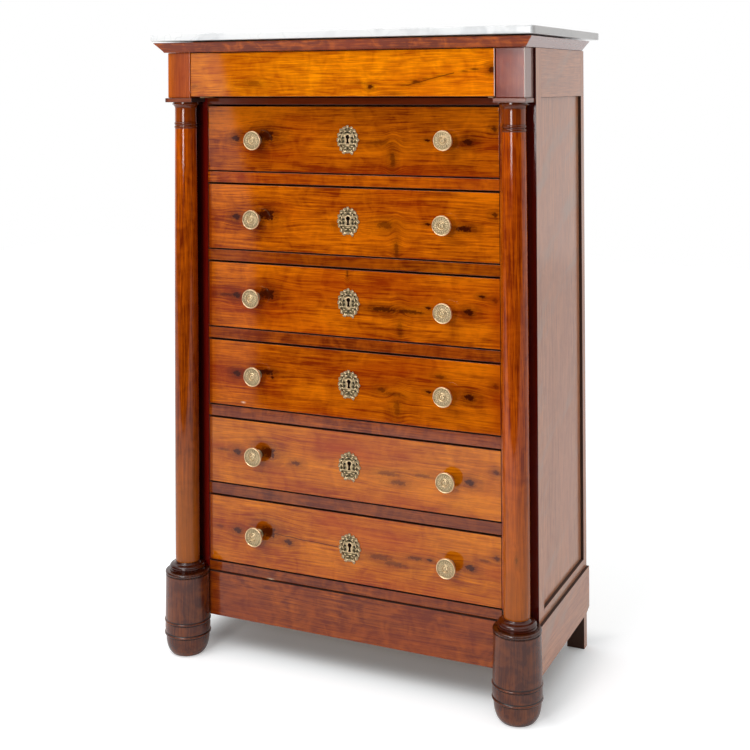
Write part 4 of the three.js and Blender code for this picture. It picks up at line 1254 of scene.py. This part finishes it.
def bed_mesh():
    """A thin bed behind the plate, open at the keyhole, that puts painted shade in the piercings."""
    wide, high = 21, 27
    outer = [(wide * a, high * b) for a, b in round_line(1, 60)]
    hole = keyhole_points(0.3, 30)

    def apart(one, other):
        return abs(math.remainder(math.atan2(one[1], one[0]) - math.atan2(other[1], other[0]), math.tau))

    inner = [min(hole, key=lambda point: apart(point, spot)) for spot in outer]
    points = [(x * MM, -0.1 * MM, z * MM) for x, z in outer + inner]
    return mesh_of("bed", points, ring_faces(len(outer)))


def moved_copy(mesh, name, shift):
    copy = mesh.copy()
    copy.name = name
    copy.transform(Matrix.Translation(shift))
    return copy


def drawer_box(label, body, node, front):
    """Sides, back and raised bottom of a drawer as separate boards, behind a front of some depth."""
    half, thick, back_thick, floor_low, floor_high, lowered = OPENING_HALF - 0.8, 13, 12, 8, 17, 3
    (bottom, top), start = edges(node, UP), front + SEAM
    for name, sign in SIDES:
        corners = mirrored(sign, (half - thick, start, bottom), (half, BOX_REAR, top))
        board(f"{label}_side_{name}", *corners, DEEP, body, "inner_wood", nodes=[node], edge=1.4)
    inner = half - thick - 0.1
    low, high = (BOX_REAR - back_thick, bottom + floor_high + 0.2), (BOX_REAR, top - lowered)
    board(f"{label}_back", at(-inner, *low), at(inner, *high), ACROSS, body, "inner_wood", nodes=[node])
    low, high = (start, bottom + floor_low), (BOX_REAR, bottom + floor_high)
    board(f"{label}_bottom", at(-inner, *low), at(inner, *high), ACROSS, body, "inner_wood", nodes=[node],
          edge=0.6)


def lock_case(number, body, middle):
    """The brass case of a drawer's lock, let into the back of its front, with its bolt."""
    top, near = middle + 34, FRONT_DEPTH + 0.1
    # Half width, front, rear, low and high edge, the rounding of the edges and how dull it is
    parts = {
        "case": (36, near, 33, middle - 14, top, 1.5, 0.45),
        "bolt": (9, 24, 29, top + 0.1, top + 6, 0.6, 0.3),
    }
    for part, (half, front, rear, low, high, edge, hollow) in parts.items():
        mesh = box_mesh(part, at(HARDWARE_X - half, front, low), at(HARDWARE_X + half, rear, high))
        piece = place_piece(f"lock_{part}_{number}", mesh, body, "brass", nodes=[f"drawer_box_{number}"])
        ease(piece, edge)
        store(mesh, "hollow", [hollow] * len(mesh.vertices))


def drawers():
    knob, plate, bed = knob_mesh(), escutcheon_mesh(), bed_mesh()
    for number in range(1, 7):
        body, middle = f"drawer_{number}", drawer_bottom(number) + OPENING_HEIGHT / 2
        spots = [(HARDWARE_X + sign * KNOB_X + move[0], middle + move[1])
                 for (_, sign), move in zip(SIDES, KNOB_MOVES[number])]
        drawer_face(number, middle, spots)
        drawer_box(f"drawer_{number}", body, f"drawer_box_{number}", FRONT_DEPTH)
        fittings = [(f"brass_knob_{name}_{number}", knob, at(x, -SEAM, z), None, f"knob_{name}_{number}")
                    for (name, _), (x, z) in zip(SIDES, spots)]
        seat, node = at(HARDWARE_X, 0, middle), f"escutcheon_{number}"
        fittings += [(f"pierced_plate_{number}", plate, seat, None, node),
                     (f"plate_bed_{number}", bed, seat, "hollow", node)]
        for label, mesh, place, finish, node in fittings:
            place_piece(label, moved_copy(mesh, label, place), body, "brass", finish, [node])
        lock_case(number, body, middle)


def frieze_drawer():
    low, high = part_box("frieze_drawer_front")
    middle, gap = 1400.5, 1.6
    knots_and_shadows = [(x, middle + z, wide, tall, strength) for x, z, wide, tall, strength in FRIEZE_KNOTS]
    # The frieze face: arris paints a pale highlight along its right edge
    finish = wood("frieze_cherry", (1.0, 0.3, 0.001), (0.4, 0.062, 0.001),
                  (0.66, 0.12, 0.001), 1.8, (0.02, 0.04), knots_and_shadows=knots_and_shadows, unshaded_axis=DEEP, arris=0.9, curl=0.22,
                  relief=0.006, crack=((178, middle - 28), (292, middle)))
    high.x -= gap * MM
    board("frieze_face", low, high, ACROSS, "frieze_drawer", "frieze_wood", finish, ["frieze_drawer_front"],
          1.6, tone=lambda point: -0.1 + 2.6 * point.x)
    drawer_box("frieze", "frieze_drawer", "frieze_drawer_box", edges("frieze_drawer_front", DEEP)[1])


drawers()
frieze_drawer()


# The sub-top keeps its solid and gets bare wood in its own coordinates
def plain_wood():
    material, nodes = new_material("bare_top_wood")
    place = nodes.place()
    figure = nodes.add("Group", out=None, node_tree=FIGURE)
    nodes.tree.links.new(place, figure.inputs["Grain"])
    for key, value in zip(("Light", "Dark", "Red"), INNER):
        figure.inputs[key].default_value = opaque(value)
    rough = nodes.ranged(figure.outputs["Worn"], 0.3, 0.7, 0.55, 0.75)
    surface(nodes, {"Base Color": figure.outputs["Color"], "Roughness": rough})
    return material


top_wood = plain_wood()
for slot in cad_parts["carcase_top"].material_slots:
    slot.material = top_wood


# Studio
def background(nodes):
    """1 for the rays that show the white surround: seen directly, in gloss or through glass."""
    rays = nodes.add("LightPath", out=None).outputs
    seen = nodes.larger(rays["Is Camera Ray"], rays["Is Transmission Ray"])
    return nodes.larger(seen, rays["Is Glossy Ray"]), rays


def make_world():
    """White when seen; for the light it is a bright ceiling and back, a paler left and a dark front."""
    world = bpy.data.worlds.new("studio")
    world.use_nodes = True
    nodes = Nodes(world.node_tree)
    seen, rays = background(nodes)
    axes = nodes.axes(nodes.add("TexCoord", out="Generated"))
    ahead = nodes.times(axes[1], -1.0)
    left = nodes.times(axes[0], -1.0)
    front = nodes.eased(ahead, -0.05, 0.1)
    turned = nodes.maths("DIVIDE", left, nodes.larger(ahead, 0.05))
    dim = nodes.ranged(turned, 0.585, 0.6, 0.03, 0.55)
    # In the gloss the front shows a narrow bright strip that leans a little, and a faint light beyond it
    slant = nodes.ranged(axes[2], -0.105, 0.1, -0.0295, 0.028)
    turned = nodes.minus(turned, slant)
    strip = nodes.times(nodes.ranged(turned, 0.603, 0.608), nodes.ranged(turned, 0.644, 0.648, 1.0, 0.0))
    strip = nodes.times(strip, nodes.ranged(axes[2], -0.1, -0.05, 0.5, 1.0))
    beyond = nodes.ranged(turned, 0.655, 0.75, 0.02, 0.038)
    dim = nodes.mixed(rays["Is Glossy Ray"], dim, nodes.plus(strip, beyond))
    around = nodes.mixed(front, (1, 1, 1), dim)
    ceiling = nodes.eased(axes[2], 0.5, 0.7)
    bright = nodes.mixed(ceiling, around, (1, 1, 1))
    plain = nodes.minus(1.0, nodes.larger(rays["Is Glossy Ray"], rays["Is Diffuse Ray"]))
    shown = nodes.mixed(plain, bright, (1, 1, 1))
    surround = nodes.add("Background", {"Color": shown, "Strength": nodes.ranged(seen, 0.0, 1.0, 0.85, 1.0)})
    nodes.add("OutputWorld", {"Surface": surround}, out=None)
    bpy.context.scene.world = world


def make_floor():
    """White paper that takes the chest's shadow and glows white away from the chest; the glow fades out under
    and beside the chest, a painted shadow there. Sizes in metres.
    """
    left, right, front, rear = -6, 6, -2.06, 7
    # Half width, front and rear edge of the patch left without glow, the painted shadow
    half, front_edge, rear_edge = 0.43, -0.05, 0.39
    corners = (left, front), (right, front), (right, rear), (left, rear)
    mesh = mesh_of("floor", [(x, PLANE + y, 0) for x, y in corners], [(0, 1, 2, 3)])
    floor = new_object("floor", mesh)
    material, nodes = new_material("white_paper")
    seen, rays = background(nodes)
    axes = nodes.axes(nodes.place())
    beside = nodes.minus(nodes.maths("ABSOLUTE", axes[0]), half)
    before = nodes.minus(PLANE - front_edge, axes[1])
    behind = nodes.minus(axes[1], PLANE + rear_edge)
    outside = nodes.larger(beside, nodes.larger(before, behind))
    beyond_painted_shadow = nodes.eased(outside, -0.06, 0.12)
    shown = nodes.ranged(rays["Is Glossy Ray"], 0.0, 1.0, 0.4, 0.06)
    shown = nodes.times(shown, beyond_painted_shadow)
    paper = nodes.add("BsdfDiffuse", {"Color": opaque((0.86, 0.885, 0.9))})
    glow = nodes.add("Emission", {"Color": opaque((1, 1, 1)), "Strength": nodes.times(seen, shown)})
    nodes.add("OutputMaterial", {"Surface": nodes.add("AddShader", {0: paper, 1: glow})}, out=None)
    mesh.materials.append(material)
    floor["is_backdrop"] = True


def lamp(name, place, target, size, power):
    data = bpy.data.lights.new(name, "AREA")
    data.shape = "RECTANGLE"
    data.size, data.size_y = size
    data.energy = power
    light = new_object(name, data)
    light.location = place
    light.rotation_mode = "QUATERNION"
    light.rotation_quaternion = (target - place).to_track_quat("-Z", "Y")


make_world()
make_floor()
lamp("strip_light", at(-130, -3350, 1580), at(0, 0, 1300), (0.9, 1.15), 44)
lamp("overhead", at(-900, -1700, 3000), at(0, 0, 700), (1.8, 1.4), 32)

low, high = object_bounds()
